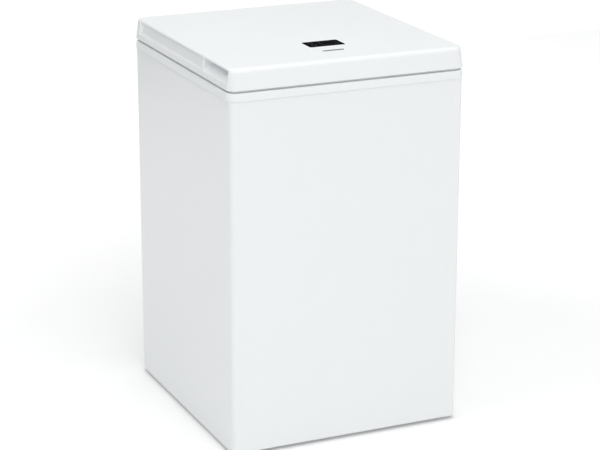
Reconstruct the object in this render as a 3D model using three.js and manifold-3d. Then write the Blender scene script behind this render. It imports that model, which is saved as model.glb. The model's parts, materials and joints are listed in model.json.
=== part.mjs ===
// A compact chest freezer in millimetres: +X is its right, the front faces -Y and +Z is up.
// The origin is on the floor under the middle of the whole object.
import * as THREE from "three";
import { mergeVertices } from "three/addons/utils/BufferGeometryUtils.js";
import Module from "manifold-3d";

const wasm = await Module();
wasm.setup();

// ---- Driving dimensions ----

const height = 825; // floor to the lid's top
const cabinetWidth = 521;
const cabinetDepth = 545;
const overhang = 3; // lid and collar past the cabinet, on every side
const rearReach = 18; // hinges and wall spacers behind the lid
const footHeight = 8;
const lidHeight = 43.5;
const sealGap = 5; // between lid and collar, filled by the gasket
const collarHeight = 16.5;

const insulation = 57; // cabinet steel to tub
const stepInsulation = 50; // compressor bay to tub
const bayDepth = 170;
const bayHeight = 230;

const sheet = 0.8; // cabinet steel
const linerWall = 1;
const moulding = 2.2; // wall of the plastic mouldings
const gap = 0.3; // between pieces that touch
const seatGap = 0.5; // round pieces that drop or turn in place

const cabinetCorner = 11;
const lidCorner = 20;
const tubCorner = 28;
const lidDraft = 4.3; // how far each lid side leans in over its height
const lidEdge = 9; // round of the lid's top edge

const windowWidth = 80;
const windowDepth = 48;
const windowRight = 8; // the window's middle, right of the lid's
const windowBehindFront = 124; // lid front edge to the window's near edge
const namePlate = { width: 48, depth: 8, right: 1, behindFront: 80 };

const lidSwing = { behindLid: 10, belowLid: 2.5 }; // hinge axis from the lid's lower rear edge
const hingeSpread = 170; // each hinge from the middle

const basketWidth = 200;
const basketHeight = 160;
const basketDrop = 62; // ledge to the basket's rim
const wire = 5;

// ---- Derived planes ----

const lidX = cabinetWidth / 2 + overhang;
const rearEnd = (cabinetDepth + 2 * overhang + rearReach) / 2;
const lidFront = -rearEnd;
const lidBack = rearEnd - rearReach;
const cabX = cabinetWidth / 2;
const cabFront = lidFront + overhang;
const cabBack = lidBack - overhang;

const lidBottom = height - lidHeight;
const collarTop = lidBottom - sealGap;
const collarBottom = collarTop - collarHeight;
const base = footHeight;

const bayFront = cabBack - bayDepth;
const bayTop = base + bayHeight;

const tubX = cabX - insulation;
const tubFront = cabFront + insulation;
const tubBack = cabBack - insulation;
const tubFloor = base + insulation;
const stepFront = bayFront - stepInsulation;
const stepTop = bayTop + stepInsulation;

const ledge = { depth: 12.5, width: 16, plate: 2.5, lip: 2 }; // rebate in the collar that carries the basket
const ledgeTop = collarTop - ledge.depth;
const linerTop = ledgeTop - ledge.plate - gap;

// ---- Finishes ----

const finish = (color, roughness, metalness = 0) =>
  new THREE.MeshStandardMaterial({ color, roughness, metalness });

const whitePaint = finish(0xf3f5f6, 0.4);
const whitePlastic = finish(0xf4f6f7, 0.45);
const linerPaint = finish(0xeef1f2, 0.35);
const palePlastic = finish(0xd9dcde, 0.5);
const galvanised = finish(0xa9adb0, 0.45, 0.9);
const steel = finish(0xb9bcbe, 0.35, 0.9);
const blackPaint = finish(0x17181a, 0.45, 0.2);
const blackPlastic = finish(0x1b1c1e, 0.5);
const blackGlass = finish(0x050607, 0.05);
const darkRubber = finish(0x232425, 0.85);
const greyRubber = finish(0x8d9093, 0.8);
const foam = finish(0xe9dfb4, 0.95);
const copper = finish(0xb0643c, 0.35, 1);
const circuit = finish(0x1f5f3c, 0.55);
const ledPlastic = finish(0xe6e6e2, 0.4);
const badgeMetal = finish(0x96999c, 0.35, 0.6);
const chromeWire = finish(0xe9ecee, 0.35, 0.1);

// ---- Solid helpers ----

// A closed geometry as a solid that can be joined and cut.
function solid(geometry) {
  if (!geometry.isBufferGeometry) return geometry;
  const bare = new THREE.BufferGeometry();
  bare.setAttribute("position", geometry.getAttribute("position"));
  bare.setIndex(geometry.getIndex());
  const merged = mergeVertices(bare, 1e-3);
  return new wasm.Manifold(
    new wasm.Mesh({
      numProp: 3,
      vertProperties: merged.getAttribute("position").array,
      triVerts: new Uint32Array(merged.getIndex().array),
    }),
  );
}

const join = (...pieces) => pieces.map(solid).reduce((a, b) => a.add(b));
const cut = (piece, ...tools) => tools.reduce((a, b) => a.subtract(solid(b)), solid(piece));
const common = (a, b) => solid(a).intersect(solid(b));

function geometryOf(piece) {
  if (piece.isBufferGeometry) return piece;
  const mesh = piece.getMesh();
  const geometry = new THREE.BufferGeometry();
  geometry.setAttribute("position", new THREE.BufferAttribute(mesh.vertProperties, 3));
  geometry.setIndex(new THREE.BufferAttribute(mesh.triVerts, 1));
  geometry.computeVertexNormals();
  return geometry;
}

// Adds one named piece to a group.
function addPiece(group, name, piece, material, position = [0, 0, 0]) {
  const mesh = new THREE.Mesh(geometryOf(piece), material);
  mesh.name = name;
  mesh.position.set(...position);
  group.add(mesh);
  return mesh;
}

const box = (x0, x1, y0, y1, z0, z1) =>
  new THREE.BoxGeometry(x1 - x0, y1 - y0, z1 - z0).translate(
    (x0 + x1) / 2,
    (y0 + y1) / 2,
    (z0 + z1) / 2,
  );

const rod = (radius, z0, z1, sides = 16) =>
  new THREE.CylinderGeometry(radius, radius, z1 - z0, sides)
    .rotateX(Math.PI / 2)
    .translate(0, 0, (z0 + z1) / 2);

const crossRod = (radius, x0, x1, sides = 16) => rod(radius, x0, x1, sides).rotateY(Math.PI / 2);

// A profile of [radius, z] points, from the axis round to the axis again, turned about Z.
const turned = (profile, segments = 24) =>
  new THREE.LatheGeometry(
    profile.map(([r, z]) => new THREE.Vector2(r, z)),
    segments,
  ).rotateX(Math.PI / 2);

// The corner points of a rounded rectangle, anticlockwise.
function outline(x0, x1, y0, y1, radius, arcSteps = 4) {
  const r = Math.max(radius, 0.5);
  const centres = [
    [x1 - r, y0 + r],
    [x1 - r, y1 - r],
    [x0 + r, y1 - r],
    [x0 + r, y0 + r],
  ];
  return centres.flatMap(([x, y], corner) =>
    Array.from({ length: arcSteps + 1 }, (_, i) => {
      const angle = (corner - 1 + i / arcSteps) * (Math.PI / 2);
      return new THREE.Vector2(x + r * Math.cos(angle), y + r * Math.sin(angle));
    }),
  );
}

const extrude = (points, z0, z1) =>
  new THREE.ExtrudeGeometry(new THREE.Shape(points), { depth: z1 - z0, bevelEnabled: false })
    .translate(0, 0, z0);

// An upright block on a rounded plan.
const block = (x0, x1, y0, y1, z0, z1, radius, arcSteps) =>
  extrude(outline(x0, x1, y0, y1, radius, arcSteps), z0, z1);

// A profile of [y, z] points extruded along X.
const bar = (profile, x0, x1) =>
  extrude(
    profile.map(([y, z]) => new THREE.Vector2(y, z)),
    x0,
    x1,
  )
    .rotateX(Math.PI / 2)
    .rotateZ(Math.PI / 2);

// A solid through rings of equally many points: convex ends, straight sides between rings.
function loft(rings) {
  const count = rings[0].points.length;
  const positions = rings.flatMap(({ points, z }) => points.flatMap((p) => [p.x, p.y, z]));
  const index = [];
  for (let level = 0; level < rings.length - 1; level++)
    for (let i = 0; i < count; i++) {
      const a = level * count + i;
      const b = level * count + ((i + 1) % count);
      index.push(a, b, b + count, a, b + count, a + count);
    }
  const top = (rings.length - 1) * count;
  for (let i = 1; i < count - 1; i++) {
    index.push(0, i + 1, i);
    index.push(top, top + i, top + i + 1);
  }
  const geometry = new THREE.BufferGeometry();
  geometry.setAttribute("position", new THREE.Float32BufferAttribute(positions, 3));
  geometry.setIndex(index);
  return geometry;
}

// Straight runs joined by round bends, sampled exactly at its own points.
class Route extends THREE.Curve {
  constructor(corners, bend = 0, arcSteps = 2) {
    super();
    const points = corners.map((c) => new THREE.Vector3(...c));
    this.points = points.flatMap((corner, i) => {
      if (i === 0 || i === points.length - 1 || bend === 0) return [corner];
      const before = points[i - 1].clone().sub(corner);
      const after = points[i + 1].clone().sub(corner);
      const reach = Math.min(bend, before.length() * 0.45, after.length() * 0.45);
      const start = corner.clone().addScaledVector(before.normalize(), reach);
      const end = corner.clone().addScaledVector(after.normalize(), reach);
      return new THREE.QuadraticBezierCurve3(start, corner, end).getPoints(arcSteps);
    });
  }
  getPoint(t) {
    return this.points[Math.round(t * (this.points.length - 1))].clone();
  }
  getPointAt(u) {
    return this.getPoint(u);
  }
  getTangentAt(u) {
    const last = this.points.length - 1;
    const i = Math.round(u * last);
    const ahead = this.points[Math.min(i + 1, last)];
    return ahead.clone().sub(this.points[Math.max(i - 1, 0)]).normalize();
  }
}

// A solid round tube along a route, which ends square to its first and last runs.
function tube(route, radius, sides = 6) {
  const section = new THREE.Shape(
    Array.from({ length: sides }, (_, i) => {
      const angle = (i / sides) * 2 * Math.PI;
      return new THREE.Vector2(radius * Math.cos(angle), radius * Math.sin(angle));
    }),
  );
  return new THREE.ExtrudeGeometry(section, {
    steps: route.points.length - 1,
    extrudePath: route,
    bevelEnabled: false,
  });
}

// ---- Cabinet ----

// The space inside the cabinet sheet, drawn in by a clearance.
const insideCabinet = (inset, z0, z1) =>
  block(
    -cabX + inset,
    cabX - inset,
    cabFront + inset,
    cabBack - inset,
    z0,
    z1,
    cabinetCorner - inset,
  );

const inner = sheet + gap; // cabinet outside to a piece that fits inside the sheet
const returnWidth = 22; // of the wrapper's edges folded in at the back
const panelBack = cabBack - sheet - gap; // the rear panel lies against the returns from inside
const panelFront = panelBack - sheet;
const steelTop = collarBottom - gap;

function wrapper() {
  const rearOpening = box(
    -cabX + returnWidth,
    cabX - returnWidth,
    cabBack - 2 * sheet,
    cabBack + 1,
    base - 1,
    height,
  );
  return cut(insideCabinet(0, base, steelTop), insideCabinet(sheet, base - 1, height), rearOpening);
}

function rearPanel() {
  const x = cabX - cabinetCorner - 1;
  return box(-x, x, panelFront, panelBack, bayTop + 2, steelTop);
}

// Floor, riser and shelf over the compressor bay, folded from one sheet.
function basePlate(holes) {
  const shelfTop = bayTop;
  const riser = bayFront;
  const folded = bar(
    [
      [cabFront, base + 0.5],
      [riser, base + 0.5],
      [riser, shelfTop - sheet],
      [cabBack, shelfTop - sheet],
      [cabBack, shelfTop],
      [riser - sheet, shelfTop],
      [riser - sheet, base + 0.5 + sheet],
      [cabFront, base + 0.5 + sheet],
    ],
    -cabX,
    cabX,
  );
  const behind = box(-cabX, cabX, panelFront - gap, cabBack, base, height);
  return cut(common(folded, insideCabinet(inner, base, height)), behind, ...holes);
}

function bayFloor() {
  const back = cabBack - 4;
  const plate = box(-cabX, cabX, bayFront + 1, back, base + 0.5, base + 2.5);
  const lip = box(-cabX + 12, cabX - 12, back - 2, back, base + 0.5, base + 14);
  return common(join(plate, lip), insideCabinet(inner, base, height));
}

// Grown shapes cut the room that the tub takes in the foam.
function tubForm(grow, top) {
  const plan = (y1, z0, z1) =>
    block(-tubX - grow, tubX + grow, tubFront - grow, y1 + grow, z0, z1, tubCorner + grow);
  return join(plan(stepFront, tubFloor - grow, top), plan(tubBack, stepTop - grow, top));
}

const drain = { x: 150, y: -30, z: 36, bore: 8, wall: 2, bend: 12, spout: 8 };

function liner() {
  const flange = block(
    -tubX - 12,
    tubX + 12,
    tubFront - 12,
    tubBack + 12,
    linerTop - linerWall,
    linerTop,
    tubCorner + 12,
  );
  const drainHole = rod(drain.bore + seatGap, tubFloor - 5, tubFloor + 5).translate(drain.x, drain.y, 0);
  return cut(join(tubForm(0, linerTop), flange), tubForm(-linerWall, height), drainHole);
}

// An upright block on the lid's plan, drawn in by an inset.
const lidPlan = (inset, z0, z1, radius) =>
  block(-lidX + inset, lidX - inset, lidFront + inset, lidBack - inset, z0, z1, radius);

// The same, with corners that run parallel to the tub's.
const mouthPlan = (inset, z0, z1) => lidPlan(inset, z0, z1, tubCorner + lidX - tubX - inset);

const mouthInset = lidX - tubX + linerWall + gap + ledge.lip; // lid side to the tub's opening
const rebateInset = mouthInset - ledge.width;

function collar() {
  const skirt = overhang + sheet + 1;
  const body = cut(
    lidPlan(0, collarBottom, collarTop, lidCorner),
    lidPlan(skirt, collarBottom - 1, collarTop - 3, lidCorner - skirt),
    mouthPlan(rebateInset - 1, 0, height),
  );
  const rebate = cut(
    mouthPlan(rebateInset - ledge.plate, ledgeTop - ledge.plate, collarTop - 1),
    mouthPlan(rebateInset, ledgeTop, height),
  );
  const lip = mouthPlan(mouthInset - ledge.lip, ledgeTop - 16, ledgeTop - 1);
  return cut(join(body, rebate, lip), mouthPlan(mouthInset, 0, height));
}

// ---- Refrigerant circuit ----

const coilRadius = 3;

// Turns round the tub, the lower ones round its narrower foot.
function evaporatorRoute() {
  const off = coilRadius + 2 * gap;
  const x = tubX + off;
  const front = tubFront - off;
  const turns = 5;
  const high = linerTop - 60;
  const pitch = (high - stepTop - 40) / (turns - 1);
  const corners = [];
  for (let turn = 0; turn < turns; turn++) {
    const z = high - turn * pitch;
    const back = tubBack + off;
    corners.push([x, back, z], [x, front, z - pitch / 4]);
    corners.push([-x, front, z - pitch / 2], [-x, back, z - (3 * pitch) / 4]);
  }
  corners[0][1] = tubBack - tubCorner;
  const exitX = -90;
  corners.push([exitX, tubBack + off, corners.at(-1)[2]], [exitX, tubBack + off, bayTop - 14]);
  return new Route(corners, tubCorner + off, 3);
}

// Passes along the right side, the front and the left side, folded back at each end.
function condenserRoute() {
  const off = sheet + gap + coilRadius + gap;
  const x = cabX - off;
  const front = cabFront + off;
  const back = cabBack - returnWidth - 20;
  const folded = back - 26; // where the passes turn, clear of the upright run
  const passes = 4;
  const high = collarBottom - 70;
  const low = bayTop + 40;
  const corners = [[x, back, bayTop - 14]];
  for (let pass = 0; pass < passes; pass++) {
    const z = high - (pass * (high - low)) / (passes - 1);
    const side = pass % 2 ? -x : x;
    const start = pass === 0 ? back : folded;
    corners.push([side, start, z], [side, front, z], [-side, front, z], [-side, folded, z]);
  }
  corners.push([x, folded, bayTop - 14]);
  return new Route(corners, cabinetCorner - inner + 6, 2);
}

// The drain runs down from the tub floor, then back through the compressor bay.
const drainRoute = (extra = 0) =>
  new Route(
    [
      [drain.x, drain.y, tubFloor - gap + extra],
      [drain.x, drain.y, drain.z],
      [drain.x, cabBack + drain.spout + extra, drain.z],
    ],
    drain.bend,
    4,
  );

function foamBody(holes) {
  const top = linerTop - linerWall - gap;
  const floor = base + 0.5 + sheet + gap;
  const whole = insideCabinet(inner, floor, top);
  const bay = box(-cabX, cabX, bayFront - sheet - gap, cabBack, base, bayTop + gap);
  const rear = box(-cabX, cabX, panelFront - gap, cabBack, base, height);
  return cut(whole, tubForm(gap, height), bay, rear, ...holes);
}

// ---- Compressor bay ----

const compressor = { x: 45, y: bayFront + 88, radius: 64, foot: 3, grommet: 14, rise: 152 };
const footPlateZ = base + 2.5 + gap + compressor.grommet + gap;
const shellZ = footPlateZ + compressor.foot + gap;
const grommetSpread = { x: 62, y: 44 };

function compressorShell() {
  const { radius: r, rise } = compressor;
  const seam = rise * 0.52;
  return turned(
    [
      [0, 0],
      [r * 0.62, 0],
      [r * 0.9, rise * 0.12],
      [r * 0.97, rise * 0.3],
      [r * 0.97, seam - 3],
      [r, seam - 3],
      [r, seam + 3],
      [r * 0.95, seam + 3],
      [r * 0.93, rise * 0.75],
      [r * 0.75, rise * 0.93],
      [r * 0.4, rise],
      [0, rise],
    ],
    24,
  );
}

function footPlate() {
  const { x, y } = grommetSpread;
  const plate = block(-x - 14, x + 14, -y - 14, y + 14, 0, compressor.foot, 12);
  return cut(plate, rod(compressor.radius * 0.45, -1, compressor.foot + 1, 24));
}

function grommet() {
  const h = compressor.grommet;
  return turned(
    [
      [0, 0],
      [11, 0],
      [11, h * 0.3],
      [8.5, h * 0.42],
      [8.5, h * 0.58],
      [11, h * 0.7],
      [11, h],
      [0, h],
    ],
    16,
  );
}

const filterDrier = () =>
  turned(
    [
      [0, 0],
      [4, 0],
      [10, 12],
      [10, 82],
      [4, 94],
      [0, 94],
    ],
    16,
  );

const drierPlace = [-75, bayFront + 60, base + 70];

const bayTubes = () => {
  const { x, y, radius } = compressor;
  const condenser = condenserRoute().points;
  const [hot, liquid] = [condenser[0], condenser.at(-1)];
  const cold = evaporatorRoute().points.at(-1);
  const high = shellZ + compressor.rise * 0.8;
  const [dx, dy, dz] = drierPlace;
  return {
    discharge_tube: [
      [hot.x, hot.y, hot.z - gap],
      [hot.x, hot.y, high],
      [x + radius, hot.y, high],
      [x + radius, y, high],
      [x + radius, y, shellZ + compressor.rise * 0.62],
      [x + radius * 0.95 + gap + 3, y, shellZ + compressor.rise * 0.62 - 8],
    ],
    suction_tube: [
      [cold.x, cold.y, cold.z - gap],
      [cold.x, cold.y, high],
      [x - radius - 20, cold.y, high],
      [x - radius - 20, y, high - 14],
      [x - radius - gap - 1, y, high - 14],
    ],
    liquid_tube: [
      [liquid.x, liquid.y, liquid.z - gap],
      [liquid.x, liquid.y, bayTop - 34],
      [liquid.x, bayFront + 10, bayTop - 34],
      [dx, bayFront + 10, bayTop - 34],
      [dx, dy, bayTop - 40],
      [dx, dy, dz + 94 + gap],
    ],
  };
};

// A fine tube wound in a small coil below the drier.
function capillary() {
  const [dx, dy, dz] = drierPlace;
  const turns = 3;
  const steps = 12;
  const points = [[dx, dy, dz - gap]];
  for (let i = 0; i <= turns * steps; i++) {
    const angle = (i / steps) * 2 * Math.PI;
    points.push([dx - 20 + 20 * Math.cos(angle), dy + 20 * Math.sin(angle), dz - 12 - i * 0.3]);
  }
  return tube(new Route(points), 1.2, 6);
}

function terminalCover() {
  const x = compressor.x - compressor.radius;
  return block(x - 34, x - gap, compressor.y - 24, compressor.y + 24, shellZ + 30, shellZ + 84, 5, 2);
}

const powerBox = () =>
  block(-cabX + 24, -cabX + 104, bayFront + 30, bayFront + 140, base + 3, base + 48, 4, 2);

const cover = { thickness: 1.2, margin: 8, slots: 9, slotWidth: 5, slotHeight: 60 };
const coverBack = cabBack + gap + cover.thickness;

// The rear cover of the compressor bay, with two rows of upright slots.
function bayCover() {
  const x = cabX - cover.margin;
  const plate = box(-x, x, cabBack + gap, coverBack, base + 3, bayTop + 12);
  const slots = [];
  for (const z of [base + 72, base + 148])
    for (let i = 0; i < cover.slots; i++) {
      const sx = (i - (cover.slots - 1) / 2) * 22;
      const half = cover.slotWidth / 2;
      slots.push(box(sx - half, sx + half, cabBack, coverBack + 1, z, z + cover.slotHeight));
    }
  const spout = rod(drain.bore + drain.wall + seatGap, -5, 5).rotateX(Math.PI / 2);
  spout.translate(drain.x, coverBack, drain.z);
  const inlet = rod(glandRadius + seatGap, -5, 5).rotateX(Math.PI / 2);
  inlet.translate(gland.x, coverBack, gland.z);
  return cut(plate, ...slots, spout, inlet);
}

const gland = { x: -150, z: base + 40 };
const glandRadius = 7;

function cableGland() {
  const bore = 3.6;
  return turned(
    [
      [bore, -6],
      [glandRadius, -6],
      [glandRadius, gap],
      [11, gap],
      [11, 3],
      [8.5, 4],
      [6.5, 13],
      [bore, 13],
      [bore, -6],
    ],
    16,
  ).rotateX(-Math.PI / 2);
}

// ---- Drain ----

const drainTube = () =>
  cut(tube(drainRoute(), drain.bore + drain.wall, 12), tube(drainRoute(4), drain.bore, 12));

const drainPlug = () =>
  turned(
    [
      [0, -12],
      [drain.bore - 1, -12],
      [drain.bore - 0.6, gap],
      [15, gap],
      [15, 3],
      [8, 4.5],
      [6, 9],
      [8, 13],
      [6, 15],
      [0, 15],
    ],
    24,
  );

function drainCap() {
  const bore = drain.bore + drain.wall + seatGap;
  const start = coverBack - cabBack + gap;
  const end = drain.spout + gap;
  return turned(
    [
      [0, end],
      [bore, end],
      [bore, start],
      [bore + 3, start],
      [bore + 3, end + 1.5],
      [bore + 1.5, end + 2.5],
      [0, end + 2.5],
    ],
    24,
  ).rotateX(-Math.PI / 2);
}

// ---- Feet, spacers and probe ----

const footRadius = 14;
const footInset = 45;

const foot = () =>
  turned(
    [
      [0, 0],
      [footRadius - 2, 0],
      [footRadius, 2],
      [footRadius, footHeight + 0.5 - gap],
      [0, footHeight + 0.5 - gap],
    ],
    16,
  );

const spacer = { x: 215, z: 560, width: 34, height: 26 };

const wallSpacer = () =>
  block(-spacer.width / 2, spacer.width / 2, panelBack + gap, rearEnd, 0, spacer.height, 3, 2);

const probeSize = { width: 12, depth: 8, height: 50, aboveStep: 250, fromCorner: 5.5 };

const probe = () => {
  const { width, depth, height, aboveStep, fromCorner } = probeSize;
  const left = -(tubX - tubCorner - fromCorner);
  const back = tubBack - linerWall - gap;
  const low = stepTop + aboveStep;
  return block(left, left + width, back - depth, back, low, low + height, 2, 2);
};

// ---- Lid, modelled from its own lower plane ----

const pocket = { start: 16, end: 141, depth: 28 }; // along the lid from its front edge
const groove = { start: 154, end: 518, depth: 7 };
const lipHeight = 12; // below the recesses
const browHeight = 4; // above them
const panel = 1.6; // wall of the lid's inner panel
const gasket = { inset: 10, width: 16, corner: 10 };
const plugReach = 10; // of the lid's plug over the tub's wall
const plugInset = overhang + insulation - plugReach;
const plugDrop = 10.5;

// The lid's outer form, drawn in by an inset.
function lidForm(inset, z0, z1, edge) {
  const ring = (shift, z) => {
    const d = inset + shift + (lidDraft * z) / lidHeight;
    const points = outline(-lidX + d, lidX - d, lidFront + d, lidBack - d, lidCorner - inset, 6);
    return { points, z };
  };
  const steps = 4;
  const rings = [ring(0, z0)];
  for (let i = 0; i <= steps; i++) {
    const angle = (i / steps) * (Math.PI / 2);
    rings.push(ring(edge * (1 - Math.cos(angle)), z1 - edge * (1 - Math.sin(angle))));
  }
  return loft(rings);
}

// A box on the right (side 1) or left (side -1), given by its distances from the middle.
const sideBox = (side, x0, x1, ...rest) =>
  side > 0 ? box(x0, x1, ...rest) : box(-x1, -x0, ...rest);

// The two recesses in each side of the lid, grown by the wall where room is cut for them.
function sideRecesses(grow) {
  const z0 = lipHeight - grow;
  const z1 = lidHeight - browHeight + grow;
  return [1, -1].flatMap((side) =>
    [pocket, groove].map(({ start, end, depth }) =>
      sideBox(side, lidX - depth - grow, lidX + 1, lidFront + start - grow, lidFront + end + grow, z0, z1),
    ),
  );
}

const windowY = lidFront + windowBehindFront + windowDepth / 2;
const innerTop = lidHeight - moulding; // underside of the lid's top wall
const housing = { margin: 8, depth: 16, wall: 2 };

const windowBlock = (grow, z0, z1, radius) =>
  block(
    windowRight - windowWidth / 2 - grow,
    windowRight + windowWidth / 2 + grow,
    windowY - windowDepth / 2 - grow,
    windowY + windowDepth / 2 + grow,
    z0,
    z1,
    radius,
    3,
  );

function plateBlock(grow, z0, z1) {
  const { width, depth, right, behindFront } = namePlate;
  const x = width / 2 + grow;
  const y0 = lidFront + behindFront - grow;
  return block(right - x, right + x, y0, y0 + depth + 2 * grow, z0, z1, depth / 2 + grow, 4);
}

function lidOuter() {
  const hollow = cut(lidForm(moulding, -1, innerTop, lidEdge - moulding), ...sideRecesses(moulding));
  return cut(
    lidForm(0, 0, lidHeight, lidEdge),
    hollow,
    ...sideRecesses(0),
    windowBlock(0, innerTop - 1, lidHeight + 1, 4),
    plateBlock(gap, lidHeight - 0.6, lidHeight + 1),
  );
}

const plugBlock = (grow, z0, z1) => mouthPlan(plugInset - grow, z0, z1);

function lidInner() {
  const rim = moulding + gap;
  const plate = lidPlan(rim, 0, panel, lidCorner - rim);
  const trimmed = common(plate, lidForm(rim, -1, innerTop, lidEdge - moulding));
  return cut(join(trimmed, plugBlock(0, -plugDrop, panel)), plugBlock(-panel, panel - plugDrop, lidHeight));
}

function lidFoam() {
  const clear = moulding + gap;
  const body = lidForm(clear, panel + gap, innerTop - gap, lidEdge - moulding);
  const belly = plugBlock(-panel - gap, panel - plugDrop + gap, lidHeight / 2);
  const displayRoom = windowBlock(housing.margin + gap, innerTop - housing.depth - 2 * gap, lidHeight, 5);
  return cut(join(body, belly), ...sideRecesses(clear), displayRoom);
}

const lidGasket = () =>
  cut(
    lidPlan(gasket.inset, gap - sealGap, -gap, gasket.corner),
    lidPlan(gasket.inset + gasket.width, -sealGap, 1, gasket.corner),
  );

const lens = () => windowBlock(-gap, innerTop, lidHeight + 0.4, 4);

function displayHousing() {
  const top = innerTop - gap;
  const shell = windowBlock(housing.margin, top - housing.depth, top, 5);
  return cut(shell, windowBlock(-1, top - housing.depth + housing.wall, top + 1, 3));
}

const boardZ = innerTop - gap - housing.depth + housing.wall + 3;
const controlBoard = () => windowBlock(-2, boardZ, boardZ + 1.6, 1);
const digitModule = () => {
  const z = boardZ + 1.6 + gap;
  return block(windowRight - 16, windowRight + 16, windowY - 8, windowY + 8, z, innerTop - gap, 1, 1);
};

// ---- Hinges, modelled from the axis of the pin ----

const axisY = lidBack + lidSwing.behindLid;
const axisZ = lidBottom - lidSwing.belowLid;
const hinge = { half: 17, wall: 2, ear: 5.8, pin: 2.5, barrel: 5, cam: 4, low: -86 };
const hingeFront = panelBack + gap - axisY; // the rear panel seen from the axis
const hingeBack = rearEnd - axisY;
const hingeTop = collarBottom - gap - axisZ;
const slider = { height: 8, noseGap: 0.5 };
const sliderTop = hingeTop - 7;

function hingeBody() {
  const { half, wall, ear, low, pin } = hinge;
  const plate = box(-half, half, hingeFront, hingeFront + wall, low, hingeTop);
  const floor = box(-half, half, hingeFront, hingeBack, low, low + wall);
  const cheeks = [1, -1].flatMap((side) => [
    sideBox(side, half - wall, half, hingeFront, hingeBack, low, hingeTop),
    sideBox(side, half - wall, half, -ear, ear, hingeTop - 1, 0),
    crossRod(ear, half - wall, half).translate(side > 0 ? 0 : wall - 2 * half, 0, 0),
  ]);
  return cut(join(plate, floor, ...cheeks), crossRod(pin + gap, -half - 1, half + 1));
}

function hingePin() {
  const { half, pin } = hinge;
  const head = gap + 1.8;
  const heads = [crossRod(pin + 1.5, half + gap, half + head), crossRod(pin + 1.5, -half - head, -half - gap)];
  return join(crossRod(pin, -half - head, half + head), ...heads);
}

function hingeLeaf() {
  const { half, wall, barrel, cam, pin } = hinge;
  const lean = Math.atan(lidDraft / lidHeight);
  const reach = half - wall - gap;
  const plate = box(-half, half, gap, gap + wall, 2, lidHeight - 10);
  plate.rotateX(lean).translate(0, -lidSwing.behindLid, lidSwing.belowLid);
  const web = box(-reach, reach, gap - lidSwing.behindLid, 0, -1, barrel);
  const lobe = crossRod(barrel, -5, 5).translate(0, 0, -cam);
  const arm = join(plate, web, crossRod(barrel, -reach, reach), lobe);
  return cut(arm, crossRod(pin + gap, -half - 1, half + 1));
}

const springMiddle = (hingeFront + hingeBack + hinge.wall) / 2;

function hingeSlider() {
  const reach = hinge.half - hinge.wall - 1;
  const front = hingeFront + hinge.wall + 1;
  const seat = box(-reach, reach, front, hingeBack - 1, sliderTop - slider.height, sliderTop);
  const nose = box(-4, 4, -3, 3, sliderTop - 1, -hinge.barrel - hinge.cam - slider.noseGap);
  return join(seat, nose);
}

function hingeSpring() {
  const radius = 6;
  const turns = 6;
  const steps = 8;
  const thickness = 1.1;
  const low = hinge.low + hinge.wall + gap + thickness;
  const high = sliderTop - slider.height - gap - thickness;
  const points = Array.from({ length: turns * steps + 1 }, (_, i) => {
    const angle = (i / steps) * 2 * Math.PI;
    const z = low + (i / (turns * steps)) * (high - low);
    return [radius * Math.cos(angle), springMiddle + radius * Math.sin(angle), z];
  });
  return tube(new Route(points), thickness, 5);
}

// ---- Basket, modelled from the middle of its rim ----

const mouthFront = lidFront + mouthInset;
const mouthBack = lidBack - mouthInset;
const basketClear = 8; // mouth to basket, front and back
const basketHalf = (mouthBack - mouthFront) / 2 - basketClear;
const basketWall = 3;
const hanger = { half: 70, overLedge: 9 };
const handle = { half: 45, drop: 52, grip: 6, gripHalf: 30 };
const handleX = basketWidth / 2 - basketWall - handle.grip - 1;
const handleZ = -wire;

function basket() {
  const x = basketWidth / 2;
  const shell = cut(
    block(-x, x, -basketHalf, basketHalf, -basketHeight, 0, 16, 4),
    block(
      -x + basketWall,
      x - basketWall,
      -basketHalf + basketWall,
      basketHalf - basketWall,
      basketWall - basketHeight,
      1,
      13,
      4,
    ),
  );
  const rest = basketDrop + gap + wire / 2;
  const hangers = [1, -1].map((end) => {
    const y = end * (basketHalf - basketWall / 2);
    const out = end * (basketHalf + basketClear + hanger.overLedge);
    const side = (s) => [
      [s * hanger.half, y, -6],
      [s * hanger.half, y, rest],
      [s * hanger.half, out, rest],
    ];
    return tube(new Route([...side(-1), ...side(1).reverse()], 8, 3), wire / 2, 8);
  });
  return join(shell, ...hangers);
}

// A wire loop hanging from its two pivots, modelled from the pivot line.
function basketHandle() {
  const { half, drop } = handle;
  const loop = new Route(
    [
      [0, -half, 0],
      [0, -half, -drop],
      [0, half, -drop],
      [0, half, 0],
    ],
    10,
    3,
  );
  return tube(loop, wire / 2 - 0.5, 8);
}

function handleGrip() {
  const { grip, gripHalf, drop } = handle;
  const bore = wire / 2 - 0.5 + gap;
  return turned(
    [
      [bore, -gripHalf],
      [grip - 1, -gripHalf],
      [grip, -gripHalf + 2],
      [grip, gripHalf - 2],
      [grip - 1, gripHalf],
      [bore, gripHalf],
      [bore, -gripHalf],
    ],
    16,
  )
    .rotateX(Math.PI / 2)
    .translate(0, 0, -drop);
}

// ---- Assembly ----

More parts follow.
